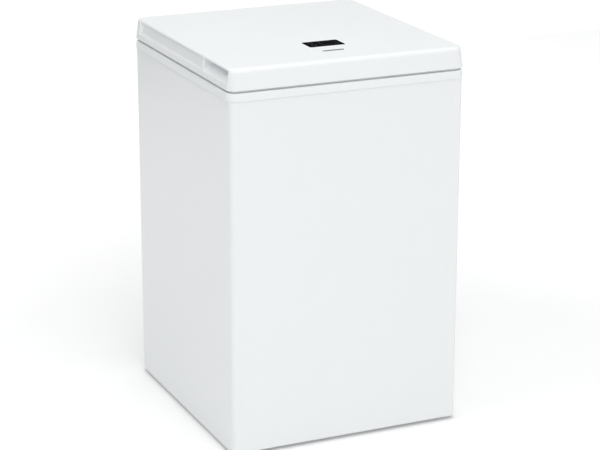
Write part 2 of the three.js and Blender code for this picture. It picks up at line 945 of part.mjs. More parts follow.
function cabinetGroup() {
  const group = new THREE.Group();
  const evaporator = evaporatorRoute();
  const condenser = condenserRoute();
  const coilRoom = [evaporator, condenser].map((route) => tube(route, coilRadius + gap));
  const drainRoom = tube(drainRoute(6), drain.bore + drain.wall + gap, 12);
  addPiece(group, "cabinet_wrapper", wrapper(), whitePaint);
  addPiece(group, "rear_panel", rearPanel(), galvanised);
  addPiece(group, "base_plate", basePlate([...coilRoom, drainRoom]), galvanised);
  addPiece(group, "bay_floor", bayFloor(), galvanised);
  addPiece(group, "inner_liner", liner(), linerPaint);
  addPiece(group, "foam_insulation", foamBody([...coilRoom, drainRoom]), foam);
  addPiece(group, "top_collar", collar(), whitePlastic);
  addPiece(group, "evaporator_coil", tube(evaporator, coilRadius), copper);
  addPiece(group, "condenser_coil", tube(condenser, coilRadius), copper);
  addPiece(group, "temperature_probe", probe(), palePlastic);
  addPiece(group, "drain_tube", drainTube(), palePlastic);
  addPiece(group, "drain_plug", drainPlug(), greyRubber, [drain.x, drain.y, tubFloor + linerWall]);
  addPiece(group, "drain_cap", drainCap(), palePlastic, [drain.x, cabBack, drain.z]);
  for (const [end, y] of [["front", cabFront + footInset], ["rear", cabBack - footInset]])
    for (const [side, sign] of [["left", -1], ["right", 1]])
      addPiece(group, `foot_${end}_${side}`, foot(), blackPlastic, [sign * (cabX - footInset), y, 0]);
  for (const [side, sign] of [["left", -1], ["right", 1]])
    addPiece(group, `wall_spacer_${side}`, wallSpacer(), palePlastic, [sign * spacer.x, 0, spacer.z]);
  return group;
}

function bayGroup() {
  const group = new THREE.Group();
  const { x, y } = compressor;
  addPiece(group, "compressor_shell", compressorShell(), blackPaint, [x, y, shellZ]);
  addPiece(group, "compressor_foot_plate", footPlate(), steel, [x, y, footPlateZ]);
  [-1, 1].forEach((sx) =>
    [-1, 1].forEach((sy) => {
      const name = `grommet_${sy < 0 ? "front" : "rear"}_${sx < 0 ? "left" : "right"}`;
      const place = [x + sx * grommetSpread.x, y + sy * grommetSpread.y, base + 2.5 + gap];
      addPiece(group, name, grommet(), darkRubber, place);
    }),
  );
  addPiece(group, "terminal_cover", terminalCover(), blackPlastic);
  addPiece(group, "filter_drier", filterDrier(), copper, drierPlace);
  for (const [name, corners] of Object.entries(bayTubes()))
    addPiece(group, name, tube(new Route(corners, 12, 3), coilRadius, 8), copper);
  addPiece(group, "capillary_tube", capillary(), copper);
  addPiece(group, "power_board_box", powerBox(), palePlastic);
  addPiece(group, "bay_cover", bayCover(), galvanised);
  addPiece(group, "cable_gland", cableGland(), blackPlastic, [gland.x, coverBack, gland.z]);
  return group;
}

function lidGroup() {
  const group = new THREE.Group();
  group.position.z = lidBottom;
  addPiece(group, "lid_outer", lidOuter(), whitePaint);
  addPiece(group, "lid_inner", lidInner(), whitePlastic);
  addPiece(group, "lid_foam", lidFoam(), foam);
  addPiece(group, "lid_gasket", lidGasket(), greyRubber);
  addPiece(group, "display_lens", lens(), blackGlass);
  addPiece(group, "display_housing", displayHousing(), blackPlastic);
  addPiece(group, "control_board", controlBoard(), circuit);
  addPiece(group, "digit_module", digitModule(), ledPlastic);
  addPiece(group, "name_plate", plateBlock(0, lidHeight - 0.3, lidHeight + 0.4), badgeMetal);
  return group;
}

function hingeGroup(side, sign) {
  const group = new THREE.Group();
  group.position.set(sign * hingeSpread, axisY, axisZ);
  addPiece(group, `hinge_body_${side}`, hingeBody(), galvanised);
  addPiece(group, `hinge_pin_${side}`, hingePin(), steel);
  addPiece(group, `hinge_leaf_${side}`, hingeLeaf(), galvanised);
  addPiece(group, `hinge_slider_${side}`, hingeSlider(), blackPlastic);
  addPiece(group, `hinge_spring_${side}`, hingeSpring(), steel);
  return group;
}

function basketGroup() {
  const group = new THREE.Group();
  group.position.set(0, (mouthFront + mouthBack) / 2, ledgeTop - basketDrop);
  addPiece(group, "basket", basket(), chromeWire);
  for (const [side, sign] of [["left", -1], ["right", 1]]) {
    const place = [sign * handleX, 0, handleZ];
    addPiece(group, `basket_handle_${side}`, basketHandle(), chromeWire, place);
    addPiece(group, `handle_grip_${side}`, handleGrip(), palePlastic, place);
  }
  return group;
}

const freezer = new THREE.Group();
freezer.add(cabinetGroup(), bayGroup(), lidGroup(), basketGroup());
freezer.add(hingeGroup("left", -1), hingeGroup("right", 1));

export default freezer;
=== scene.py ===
"""Looks for a compact chest freezer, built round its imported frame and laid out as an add-on."""

import json
import math

import bmesh
import bpy
from bpy.props import FloatProperty, FloatVectorProperty, IntProperty, PointerProperty
from bpy.types import Operator, Panel, PropertyGroup
from mathutils import Matrix, Vector
from mathutils.geometry import delaunay_2d_cdt


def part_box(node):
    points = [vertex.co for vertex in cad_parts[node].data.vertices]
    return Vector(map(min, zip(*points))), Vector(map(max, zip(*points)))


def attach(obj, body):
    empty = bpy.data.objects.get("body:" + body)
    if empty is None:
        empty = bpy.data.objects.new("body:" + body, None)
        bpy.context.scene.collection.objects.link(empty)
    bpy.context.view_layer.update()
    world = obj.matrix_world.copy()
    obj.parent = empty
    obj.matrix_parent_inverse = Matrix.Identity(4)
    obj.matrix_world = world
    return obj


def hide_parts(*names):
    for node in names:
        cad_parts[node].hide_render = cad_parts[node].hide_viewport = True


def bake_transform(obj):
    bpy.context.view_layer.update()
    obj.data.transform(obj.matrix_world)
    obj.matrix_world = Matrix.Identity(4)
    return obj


bl_info = {
    "name": "Chest Freezer Builder",
    "version": (1, 0, 0),
    "blender": (4, 5, 0),
    "location": "View3D > Sidebar > Freezer",
    "description": "Builds the visible pieces and finishes of a compact chest freezer",
    "category": "Add Mesh",
}

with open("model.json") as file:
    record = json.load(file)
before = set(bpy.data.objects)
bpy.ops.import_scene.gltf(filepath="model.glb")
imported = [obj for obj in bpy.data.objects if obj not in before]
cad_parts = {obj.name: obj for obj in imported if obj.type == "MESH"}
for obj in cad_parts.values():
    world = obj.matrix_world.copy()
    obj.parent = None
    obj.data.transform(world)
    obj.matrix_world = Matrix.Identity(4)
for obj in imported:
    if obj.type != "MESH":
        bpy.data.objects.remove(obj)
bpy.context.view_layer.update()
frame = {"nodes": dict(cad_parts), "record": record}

MM = 0.001


def span(node):
    """A CAD node's lowest and highest corners."""
    return tuple(Vector(corner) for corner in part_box(node))


LID_LOW, LID_HIGH = span("lid_outer")
CABINET_LOW, CABINET_HIGH = span("cabinet_wrapper")
LENS_LOW, LENS_HIGH = span("display_lens")
PLATE_LOW, PLATE_HIGH = span("name_plate")
COVER_LOW, COVER_HIGH = span("bay_cover")
PLATE_RADIUS = (PLATE_HIGH.y - PLATE_LOW.y) / 2 - 1e-5  # its end arcs just don't meet
SIDE_GAP = 0.3 * MM  # left between pieces that lie side by side


# ---- Sizes and colours that a user may change ----


def length(name, description, default_mm, low=0.0):
    """A size property in metres, given in millimetres."""
    return FloatProperty(
        name=name,
        description=description,
        default=default_mm * MM,
        min=low,
        precision=5,
        subtype="DISTANCE",
        unit="LENGTH",
    )


def linear(hex_colour):
    """An sRGB hex colour as linear red, green and blue."""
    channels = [int(hex_colour[i : i + 2], 16) / 255 for i in (1, 3, 5)]
    return tuple(c / 12.92 if c <= 0.04045 else ((c + 0.055) / 1.055) ** 2.4 for c in channels)


def colour(name, description, hex_colour):
    """A colour property."""
    return FloatVectorProperty(
        name=name,
        description=description,
        default=linear(hex_colour),
        size=3,
        min=0.0,
        max=1.0,
        subtype="COLOR",
    )


class FreezerLidSizes(PropertyGroup):
    front_edge: length("Front edge", "Round of the lid's top front edge", 9)
    side_edge: length("Side edge", "Round of the lid's other top edges", 4.5)
    draft: length("Draft", "How far each side leans in over its height", 4.3)
    wall: length("Wall", "Thickness of the lid shell", 2.2)
    lip: length("Lip", "Height of the lip under the side recesses", 12)
    brow: length("Brow", "Lid top to the recesses' upper edge", 4)
    pocket_start: length("Pocket start", "Lid front to the hand pocket", 16)
    pocket_end: length("Pocket end", "Lid front to the pocket's rear end", 142)
    pocket_sweep: length("Pocket sweep", "Length of the curve at the pocket's rear end", 27)
    pocket_depth: length("Pocket depth", "Depth of the hand pocket", 28)
    pocket_rise: length("Pocket rise", "How high the pocket's scooped floor climbs", 13)
    groove_start: length("Groove start", "Lid front to the groove's front end", 153)
    groove_end: length("Groove end", "Lid front to the groove's rear end", 518)
    groove_depth: length("Groove depth", "Depth of the side groove", 7)


class FreezerCabinetSizes(PropertyGroup):
    sheet: length("Sheet", "Thickness of the cabinet steel", 0.8)
    corner: length("Corner", "Radius of the cabinet's upright corners", 11)
    fold: length("Rear fold", "Width of the edges folded in at the back", 22)
    lid_corner: length("Lid corner", "Radius of the lid's and collar's upright corners", 20)
    tub_corner: length("Tub corner", "Radius of the tub's corners", 28)


class FreezerBasketSizes(PropertyGroup):
    thin_wire: length("Thin wire", "Diameter of the basket's mesh wires", 2.6)
    thick_wire: length("Rim wire", "Diameter of the rim and hangers", 5)
    hoops: IntProperty(name="Hoops", description="Wires across the basket", default=15, min=3)
    runs: IntProperty(name="Runs", description="Wires along the basket", default=7, min=3)
    bands: IntProperty(name="Bands", description="Wires round its sides", default=4, min=1)


class FreezerColours(PropertyGroup):
    enamel: colour("Cabinet enamel", "Baked white enamel on the cabinet", "#EFF1F2")
    shell: colour("Lid and collar", "Moulded white plastic", "#F0F2F3")
    tub: colour("Tub", "White lacquer inside the tub", "#E9ECEE")
    # the seal's grey-white is partly its own colour and partly painted shade for the gap under the
    # lid
    seal: colour("Seal", "Grey-white vinyl of the lid seal", "#E3E6E8")
    glass: colour("Display glass", "Black glass over the display", "#050607")
    plate: colour("Name plate", "Satin metal of the blank plate", "#8E9194")


# ---- Mesh helpers ----


def new_object(name, bm, material):
    """Turns a bmesh into an object in the scene with one material."""
    mesh = bpy.data.meshes.new(name)
    bm.to_mesh(mesh)
    bm.free()
    mesh.materials.append(material)
    obj = bpy.data.objects.new(name, mesh)
    bpy.context.scene.collection.objects.link(obj)
    return obj


def shade(obj, degrees):
    """Smooth shading that keeps edges sharper than an angle, and large faces flat."""
    mesh = obj.data
    mesh.shade_smooth()
    mesh.set_sharp_from_angle(angle=math.radians(degrees))
    weighted = obj.modifiers.new("flat_faces", "WEIGHTED_NORMAL")
    weighted.keep_sharp = True
    return flatten_modifiers(obj)


def settle(obj, body, nodes=()):
    """Says which body a piece rides on, and hides the CAD nodes that it stands for."""
    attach(obj, body)
    if nodes:
        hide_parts(*nodes)
    return obj


def finished(name, bm, material, degrees, body, slot, *nodes):
    """Makes a shaded piece of a bmesh, and settles it on its body."""
    return settle(shade(new_object(name, bm, material), degrees), body, nodes)


def flatten_modifiers(obj):
    """Replaces an object's mesh by its evaluated one, and drops the modifiers."""
    depsgraph = bpy.context.evaluated_depsgraph_get()
    depsgraph.update()
    result = bpy.data.meshes.new_from_object(obj.evaluated_get(depsgraph))
    obj.modifiers.clear()
    obj.data = result
    return obj


def plan_ring(x0, x1, y0, y1, radius, steps=10):
    """Corner points of a rounded rectangle, anticlockwise from the front right."""
    centres = ((x1, y0, 1, -1), (x1, y1, 1, 1), (x0, y1, -1, 1), (x0, y0, -1, -1))
    points = []
    for corner, (x, y, sx, sy) in enumerate(centres):
        cx, cy = x - sx * radius, y - sy * radius
        for i in range(steps + 1):
            angle = (corner - 1 + i / steps) * math.pi / 2
            points.append((cx + radius * math.cos(angle), cy + radius * math.sin(angle)))
    return points


def rounded(points, radii, steps):
    """An open polyline with each corner rounded by an arc-like curve of its own radius."""
    out = []
    # a rational curve with this weight is a true arc at a square corner
    w = math.sqrt(0.5)
    for i, point in enumerate(points):
        here = Vector(point)
        if radii[i] <= 0 or i in (0, len(points) - 1):
            out.append(tuple(here))
            continue
        before, after = Vector(points[i - 1]) - here, Vector(points[i + 1]) - here
        reach = min(radii[i], before.length * 0.48, after.length * 0.48)
        start, end = here + before.normalized() * reach, here + after.normalized() * reach
        for k in range(steps + 1):
            t = k / steps
            a, b, c = (1 - t) ** 2, 2 * w * t * (1 - t), t * t
            out.append(tuple((start * a + here * b + end * c) / (a + b + c)))
    return out


def near(x, z, *points):
    """Outline points given in millimetres from one corner of a section."""
    return [(x + a * MM, z + b * MM) for a, b in points]


def outward(bm):
    """Turns a bmesh's faces outwards."""
    bmesh.ops.recalc_face_normals(bm, faces=bm.faces)
    return bm


def bridge(bm, a, b):
    """Quads between two rings of equally many vertices."""
    for i in range(len(a)):
        j = (i + 1) % len(a)
        bm.faces.new((a[i], a[j], b[j], b[i]))


def skin_rings(rings, closed_profile=False, capped=False):
    """A bmesh through rings of equally many 3D points."""
    bm = bmesh.new()
    levels = [[bm.verts.new(p) for p in ring] for ring in rings]
    for low, high in zip(levels, levels[1:]):
        bridge(bm, low, high)
    if closed_profile:
        bridge(bm, levels[-1], levels[0])
    if capped:
        bm.faces.new(reversed(levels[0]))
        bm.faces.new(levels[-1])
    return outward(bm)


def sweep_plan(low, high, corner_at, profile, **ends):
    """Sweeps a profile of (inset, height) points round a rounded rectangle."""
    rings = []
    for inset, z in profile:
        sides = low.x + inset, high.x - inset, low.y + inset, high.y - inset
        rings.append([(x, y, z) for x, y in plan_ring(*sides, corner_at(inset))])
    return skin_rings(rings, **ends)


def turned(profile, steps, axis, place):
    """A bmesh turned from (radius, height) points, closed if they start and end together."""
    bm = bmesh.new()
    verts = [bm.verts.new((r, 0, z)) for r, z in profile]
    edges = [bm.edges.new(pair) for pair in zip(verts, verts[1:])]
    bmesh.ops.spin(
        bm, geom=verts + edges, cent=(0, 0, 0), axis=(0, 0, 1), angle=2 * math.pi, steps=steps
    )
    bmesh.ops.remove_doubles(bm, verts=bm.verts, dist=1e-6)
    outward(bm)
    turn = {
        "X": Matrix.Rotation(math.pi / 2, 4, "Y"),
        "Y": Matrix.Rotation(-math.pi / 2, 4, "X"),
        "Z": Matrix.Identity(4),
    }
    bm.transform(Matrix.Translation(place) @ turn[axis])
    return bm


def swept_wire(bm, path, radius, sides=10, closed=False):
    """Adds a round wire along a polyline of 3D points to a bmesh."""
    points = [Vector(p) for p in path]
    count = len(points)
    angles = [2 * math.pi * k / sides for k in range(sides)]
    rings = []
    normal = None
    for i, point in enumerate(points):
        if closed:
            tangent = (points[(i + 1) % count] - points[i - 1]).normalized()
        else:
            tangent = (points[min(i + 1, count - 1)] - points[max(i - 1, 0)]).normalized()
        if normal is None:
            normal = tangent.orthogonal().normalized()
        normal = (normal - tangent * normal.dot(tangent)).normalized()
        side = tangent.cross(normal)
        arms = [(normal * math.cos(a) + side * math.sin(a)) * radius for a in angles]
        rings.append([bm.verts.new(point + arm) for arm in arms])
    for low, high in zip(rings, rings[1:]):
        bridge(bm, low, high)
    if closed:
        bridge(bm, rings[-1], rings[0])
    else:
        bm.faces.new(reversed(rings[0]))
        bm.faces.new(rings[-1])
    return outward(bm)


def refined_node(node, material, bevel, segments=2, angle=35):
    """A merged copy of a CAD node with soft edges and smooth curves."""
    bm = bmesh.new()
    bm.from_mesh(frame["nodes"][node].data)
    bmesh.ops.remove_doubles(bm, verts=bm.verts, dist=2e-6)
    bmesh.ops.dissolve_limit(
        bm, angle_limit=math.radians(1), verts=bm.verts[:], edges=bm.edges[:], delimit={"NORMAL"}
    )
    sharp = [
        e
        for e in bm.edges
        if len(e.link_faces) == 2 and e.calc_face_angle(0) > math.radians(angle)
    ]
    bmesh.ops.bevel(
        bm,
        geom=sharp,
        offset=bevel,
        segments=segments,
        profile=0.5,
        affect="EDGES",
        clamp_overlap=True,
    )
    return shade(new_object(node + "_finished", bm, material), angle)


# ---- Geometry Nodes ----


def add_node(tree, kind, settings=None, numbered=None, **named):
    """Adds a node; settings are its attributes, the rest its sockets' values or links.

    A socket is given by its name, or by its number where several share a name.
    """
    node = tree.nodes.new(kind)
    for key, value in (settings or {}).items():
        setattr(node, key, value)
    given = [(node.inputs[number], value) for number, value in (numbered or {}).items()]
    for key, value in named.items():
        name = key.replace("_", " ")
        given.append((next(s for s in node.inputs if s.name == name and s.enabled), value))
    for socket, value in given:
        if isinstance(value, bpy.types.NodeSocket):
            tree.links.new(value, socket)
        else:
            socket.default_value = value
    return node


def geometry_tree(name, **sockets):
    """An empty geometry tree with named inputs, each given with its kind."""
    tree = bpy.data.node_groups.new(name, "GeometryNodeTree")
    for label, kind in {"Geometry": "Geometry", **sockets}.items():
        tree.interface.new_socket(label, in_out="INPUT", socket_type="NodeSocket" + kind)
    tree.interface.new_socket("Geometry", in_out="OUTPUT", socket_type="NodeSocketGeometry")
    return tree, tree.nodes.new("NodeGroupInput").outputs


def end_with_copies(tree, given, points, instance, **turn):
    """Ends a tree with real, painted copies of one shape on points."""
    copies = add_node(
        tree, "GeometryNodeInstanceOnPoints", Points=points, Instance=instance, **turn
    )
    real = add_node(tree, "GeometryNodeRealizeInstances", Geometry=copies.outputs["Instances"])
    painted = add_node(
        tree,
        "GeometryNodeSetMaterial",
        Geometry=real.outputs["Geometry"],
        Material=given["Material"],
    )
    add_node(tree, "NodeGroupOutput", Geometry=painted.outputs["Geometry"])
    return tree


def run_tree(name, source, tree, values, material):
    """Runs a geometry tree on a bmesh and returns the result as a plain mesh."""
    obj = new_object(name, source, material)
    modifier = obj.modifiers.new("nodes", "NODES")
    modifier.node_group = tree
    for item in tree.interface.items_tree:
        if item.in_out == "INPUT" and item.name in values:
            modifier[item.identifier] = values[item.name]
    return flatten_modifiers(obj)


def wire_array_tree():
    """Repeats one bent wire along a line: its path becomes a round rod, copied at even steps."""
    name = "Wire array"
    if name in bpy.data.node_groups:
        return bpy.data.node_groups[name]
    tree, given = geometry_tree(
        name, Count="Int", Step="Vector", Radius="Float", Material="Material"
    )
    path = add_node(tree, "GeometryNodeMeshToCurve", Mesh=given["Geometry"])
    section = add_node(
        tree, "GeometryNodeCurvePrimitiveCircle", Resolution=8, Radius=given["Radius"]
    )
    rod = add_node(
        tree,
        "GeometryNodeCurveToMesh",
        Curve=path.outputs["Curve"],
        Profile_Curve=section.outputs["Curve"],
        Fill_Caps=True,
    )
    line = add_node(tree, "GeometryNodeMeshLine", Count=given["Count"], Offset=given["Step"])
    return end_with_copies(tree, given, line.outputs["Mesh"], rod.outputs["Mesh"])


def screw_tree():
    """Sets a pan-head screw with a cross slot on every point, all turned one way."""
    name = "Screw heads"
    if name in bpy.data.node_groups:
        return bpy.data.node_groups[name]
    tree, given = geometry_tree(
        name, Radius="Float", Height="Float", Turn="Vector", Material="Material"
    )
    radius, height = given["Radius"], given["Height"]
    head = add_node(tree, "GeometryNodeMeshUVSphere", Segments=20, Rings=10, Radius=radius)
    ratio = add_node(tree, "ShaderNodeMath", {"operation": "DIVIDE"}, {0: height, 1: radius})
    squash = add_node(tree, "ShaderNodeCombineXYZ", X=1.0, Y=1.0, Z=ratio.outputs[0])
    dome = add_node(
        tree, "GeometryNodeTransform", Geometry=head.outputs["Mesh"], Scale=squash.outputs[0]
    )
    # the cross slot's length and width, as shares of the head's radius
    long, narrow = (
        add_node(tree, "ShaderNodeMath", {"operation": "MULTIPLY"}, {0: radius, 1: share})
        for share in (1.1, 0.24)
    )
    lift = add_node(tree, "ShaderNodeCombineXYZ", Z=height)
    geometry = dome.outputs["Geometry"]
    for x, y in ((long, narrow), (narrow, long)):
        size = add_node(
            tree, "ShaderNodeCombineXYZ", X=x.outputs[0], Y=y.outputs[0], Z=height
        )
        bar = add_node(tree, "GeometryNodeMeshCube", Size=size.outputs[0])
        raised = add_node(
            tree,
            "GeometryNodeTransform",
            Geometry=bar.outputs["Mesh"],
            Translation=lift.outputs[0],
        )
        cut = add_node(
            tree,
            "GeometryNodeMeshBoolean",
            {"operation": "DIFFERENCE", "solver": "EXACT"},
            {0: geometry, 1: raised.outputs["Geometry"]},
        )
        geometry = cut.outputs["Mesh"]
    turn = add_node(tree, "FunctionNodeEulerToRotation", Euler=given["Turn"])
    return end_with_copies(
        tree, given, given["Geometry"], geometry, Rotation=turn.outputs["Rotation"]
    )


def louvre_tree():
    """Sets a copy of one pressed hood on every point."""
    name = "Pressed hoods"
    if name in bpy.data.node_groups:
        return bpy.data.node_groups[name]
    tree, given = geometry_tree(name, Hood="Object", Material="Material")
    hood = add_node(tree, "GeometryNodeObjectInfo", Object=given["Hood"])
    return end_with_copies(tree, given, given["Geometry"], hood.outputs["Geometry"])


def screws(name, points, radius, height):
    """A group of equal screw heads on the cabinet's back."""
    material = zinc_plated_steel()
    bm = bmesh.new()
    for point in points:
        bm.verts.new(point)
    facing_back = (-math.pi / 2, 0.0, 0.0)
    values = {"Radius": radius, "Height": height, "Turn": facing_back, "Material": material}
    obj = run_tree(name, bm, screw_tree(), values, material)
    return settle(shade(obj, 30), "cabinet")


# ---- Finishes ----


def new_material(name):
    """An empty node material: its tree, and the shader's node."""
    material = bpy.data.materials.new(name)
    material.use_nodes = True
    tree = material.node_tree
    tree.nodes.clear()
    out = tree.nodes.new("ShaderNodeOutputMaterial")
    shader = tree.nodes.new("ShaderNodeBsdfPrincipled")
    tree.links.new(shader.outputs["BSDF"], out.inputs["Surface"])
    return material, tree, shader


def finish_material(
    name,
    hex_or_rgb,
    roughness,
    grain_mm,
    spread=0.02,
    rough_spread=0.06,
    bump=0.0,
    wear=0.0,
    metallic=0.0,
    **sockets,
):
    """A surface whose colour, roughness and height vary a little with a grain of a real size."""
    if name in bpy.data.materials:
        return bpy.data.materials[name]
    rgb = linear(hex_or_rgb) if isinstance(hex_or_rgb, str) else tuple(hex_or_rgb)
    material, tree, shader = new_material(name)
    where = add_node(tree, "ShaderNodeTexCoord").outputs["Object"]
    grain_scale, patch_scale = 1 / (grain_mm * MM), 6.0
    grain = add_node(tree, "ShaderNodeTexNoise", Vector=where, Scale=grain_scale, Detail=3.0)
    patches = add_node(tree, "ShaderNodeTexNoise", Vector=where, Scale=patch_scale, Detail=2.0)
    half = add_node(
        tree, "ShaderNodeMath", {"operation": "MULTIPLY"}, {0: patches.outputs["Fac"], 1: 0.5}
    )
    both = add_node(
        tree,
        "ShaderNodeMath",
        {"operation": "MULTIPLY_ADD"},
        {0: grain.outputs["Fac"], 1: 0.5, 2: half.outputs[0]},
    )
    faint, strong = 0.3, 0.7  # the noise's usual range
    shades = add_node(tree, "ShaderNodeValToRGB", Fac=both.outputs[0])
    ends = ((faint, 1 - spread), (strong, 1 + spread))
    for element, (position, share) in zip(shades.color_ramp.elements, ends):
        element.position = position
        element.color = (*(min(1, c * share) for c in rgb), 1)
    base = shades.outputs["Color"]
    if wear:
        edges = add_node(tree, "ShaderNodeNewGeometry").outputs["Pointiness"]
        rubbed = add_node(tree, "ShaderNodeMapRange", Value=edges, From_Min=0.52, From_Max=0.6)
        worn = (*(min(1, c + wear) for c in rgb), 1)
        lighter = add_node(
            tree,
            "ShaderNodeMix",
            {"data_type": "RGBA"},
            {0: rubbed.outputs["Result"], 6: base, 7: worn},
        )
        base = lighter.outputs[2]
    tree.links.new(base, shader.inputs["Base Color"])
    shine = add_node(
        tree,
        "ShaderNodeMapRange",
        Value=both.outputs[0],
        From_Min=faint,
        From_Max=strong,
        To_Min=max(0.02, roughness - rough_spread),
        To_Max=roughness + rough_spread,
    )
    tree.links.new(shine.outputs["Result"], shader.inputs["Roughness"])
    if bump:
        relief = add_node(
            tree,
            "ShaderNodeBump",
            Height=grain.outputs["Fac"],
            Strength=bump,
            Distance=grain_mm * MM * 0.2,
        )
        tree.links.new(relief.outputs["Normal"], shader.inputs["Normal"])
    shader.inputs["Metallic"].default_value = metallic
    for key, value in sockets.items():
        shader.inputs[key.replace("_", " ")].default_value = value
    return material


def colours():
    """The colours that the panel shows."""
    return bpy.context.scene.freezer_colours


def baked_enamel():
    # powder-coated, baked enamel on drawn steel: an even satin white with a faint orange peel
    # of about 3 mm
    return finish_material(
        "baked_white_enamel",
        colours().enamel,
        0.34,
        3.0,
        0.004,
        0.03,
        bump=0.05,
        Coat_Weight=0.15,
        Coat_Roughness=0.3,
    )


def moulded_shell():
    # injection-moulded ABS with a fine spark-eroded grain: soft, wide highlights along its
    # rounded edges
    return finish_material(
        "moulded_white_abs", colours().shell, 0.44, 1.2, 0.004, 0.03, bump=0.06, IOR=1.53
    )


def tub_lacquer():
    # embossed aluminium sheet under white lacquer: small dimples break up its reflections
    return finish_material(
        "embossed_lacquered_aluminium",
        colours().tub,
        0.38,
        4.0,
        0.008,
        0.05,
        bump=0.35,
        Coat_Weight=0.2,
    )


def seal_vinyl():
    # soft magnetic-strip vinyl: matt and slightly blue-grey; the grey is partly the vinyl's own
    # colour and partly painted shade, so that the gap under the lid shows as a thin grey line
    return finish_material("soft_grey_vinyl", colours().seal, 0.62, 0.9, 0.03, 0.05, bump=0.08)


def frosted_grey_rubber():
    # moulded rubber bung: matt mid grey with a dusty bloom
    return finish_material("moulded_grey_rubber", "#8B8F92", 0.7, 1.0, 0.05, 0.06, bump=0.12)


def black_rubber():
    # natural rubber blocks: dull black with worn, greyer edges
    return finish_material("black_rubber", "#232426", 0.75, 1.4, 0.14, 0.08, bump=0.2, wear=0.03)


def black_nylon():
    # glass-filled nylon: dark, with a dry fine grain
    return finish_material(
        "black_glass_filled_nylon", "#1C1D1F", 0.5, 0.8, 0.1, 0.06, bump=0.12, IOR=1.53
    )


def pale_nylon():
    # natural polyamide fittings: warm pale grey, slightly waxy
    return finish_material(
        "natural_polyamide", "#D9DBDC", 0.42, 1.0, 0.03, 0.05, bump=0.08, IOR=1.53
    )


def stove_black():
    # stoved black paint on the pressed compressor dome: satin with an uneven spray texture
    return finish_material(
        "stoved_black_paint", "#191A1C", 0.38, 2.2, 0.12, 0.08, bump=0.15, Coat_Weight=0.1
    )


def copper_tube():
    # drawn copper that has browned a little: pink-orange metal with duller patches
    return finish_material(
        "drawn_copper", "#C0785A", 0.3, 14.0, 0.22, 0.12, bump=0.05, metallic=1.0
    )


def zinc_plated_steel():
    # bright zinc plating: cool grey metal, finely mottled
    return finish_material(
        "zinc_plated_steel", "#BFC2C4", 0.32, 1.6, 0.08, 0.08, bump=0.08, metallic=1.0
    )


def coated_wire():
    # polyethylene-dipped steel wire: thick glossy white skin with soft sags
    return finish_material(
        "polyethylene_dipped_wire", "#E6E9EA", 0.36, 5.0, 0.012, 0.05, bump=0.1, Coat_Weight=0.2
    )


def plate_metal():
    # sandblasted aluminium badge blank: even satin grey with a bright rim
    return finish_material(
        "sandblasted_aluminium",
        colours().plate,
        0.42,
        0.5,
        0.06,
        0.06,
        bump=0.1,
        wear=0.12,
        metallic=0.7,
    )


def galvanised_sheet():
    # hot-dipped zinc on steel sheet: crystals of slightly different grey and gloss
    name = "hot_dip_galvanised_steel"
    if name in bpy.data.materials:
        return bpy.data.materials[name]
    crystal = 9 * MM
    material, tree, shader = new_material(name)
    where = add_node(tree, "ShaderNodeTexCoord").outputs["Object"]
    warp = add_node(tree, "ShaderNodeTexNoise", Vector=where, Scale=90.0, Detail=2.0)
    bent = add_node(
        tree,
        "ShaderNodeMix",
        {"data_type": "VECTOR"},
        {0: 0.012, 4: where, 5: warp.outputs["Color"]},
    )
    cells = add_node(tree, "ShaderNodeTexVoronoi", Vector=bent.outputs[1], Scale=1 / crystal)
    tone = add_node(tree, "ShaderNodeSeparateColor", Color=cells.outputs["Color"])
    greys = add_node(tree, "ShaderNodeValToRGB", Fac=tone.outputs["Red"])
    for element, grey in zip(greys.color_ramp.elements, ("#ABB0B3", "#C1C5C7")):
        element.color = (*linear(grey), 1)
    tree.links.new(greys.outputs["Color"], shader.inputs["Base Color"])
    gloss = add_node(
        tree, "ShaderNodeMapRange", Value=tone.outputs["Green"], To_Min=0.4, To_Max=0.52
    )
    tree.links.new(gloss.outputs["Result"], shader.inputs["Roughness"])
    relief = add_node(
        tree, "ShaderNodeBump", Height=tone.outputs["Red"], Strength=0.03, Distance=0.2 * MM
    )
    tree.links.new(relief.outputs["Normal"], shader.inputs["Normal"])
    shader.inputs["Metallic"].default_value = 0.9
    return material


def display_glass():
    # glass printed black on its back: near mirror gloss over a black that hardly varies
    name = "back_printed_glass"
    if name in bpy.data.materials:
        return bpy.data.materials[name]
    material, tree, shader = new_material(name)
    where = add_node(tree, "ShaderNodeTexCoord").outputs["Object"]
    smear = add_node(tree, "ShaderNodeTexNoise", Vector=where, Scale=60.0, Detail=3.0)
    gloss = add_node(
        tree, "ShaderNodeMapRange", Value=smear.outputs["Fac"], To_Min=0.04, To_Max=0.12
    )
    tree.links.new(gloss.outputs["Result"], shader.inputs["Roughness"])
    tone = add_node(tree, "ShaderNodeValToRGB", Fac=smear.outputs["Fac"])
    for element, share in zip(tone.color_ramp.elements, (1.0, 1.6)):
        element.color = (*(c * share for c in colours().glass), 1)
    tree.links.new(tone.outputs["Color"], shader.inputs["Base Color"])
    shader.inputs["IOR"].default_value = 1.5
    shader.inputs["Specular IOR Level"].default_value = 0.001
    return material


def printed_mark():
    # silk-screened dark grey ink on the glass: just visible beside the black
    return finish_material("screen_printed_ink", "#34373A", 0.3, 0.6, 0.08, 0.04)


def foam_skin():
    # blown polyurethane: cream, with 2 mm cells and a crisp skin
    return finish_material("blown_polyurethane", "#E8DDB2", 0.9, 2.0, 0.08, 0.04, bump=0.6)


def circuit_lacquer():
    # solder-resist lacquer on glass-epoxy board: deep green, half gloss
    return finish_material("solder_resist_lacquer", "#1E5F3B", 0.35, 1.1, 0.1, 0.06, bump=0.1)


def display_cell():
    # translucent acrylic digits block: milky white
    return finish_material("milky_acrylic", "#E4E4E0", 0.25, 1.0, 0.03, 0.05)


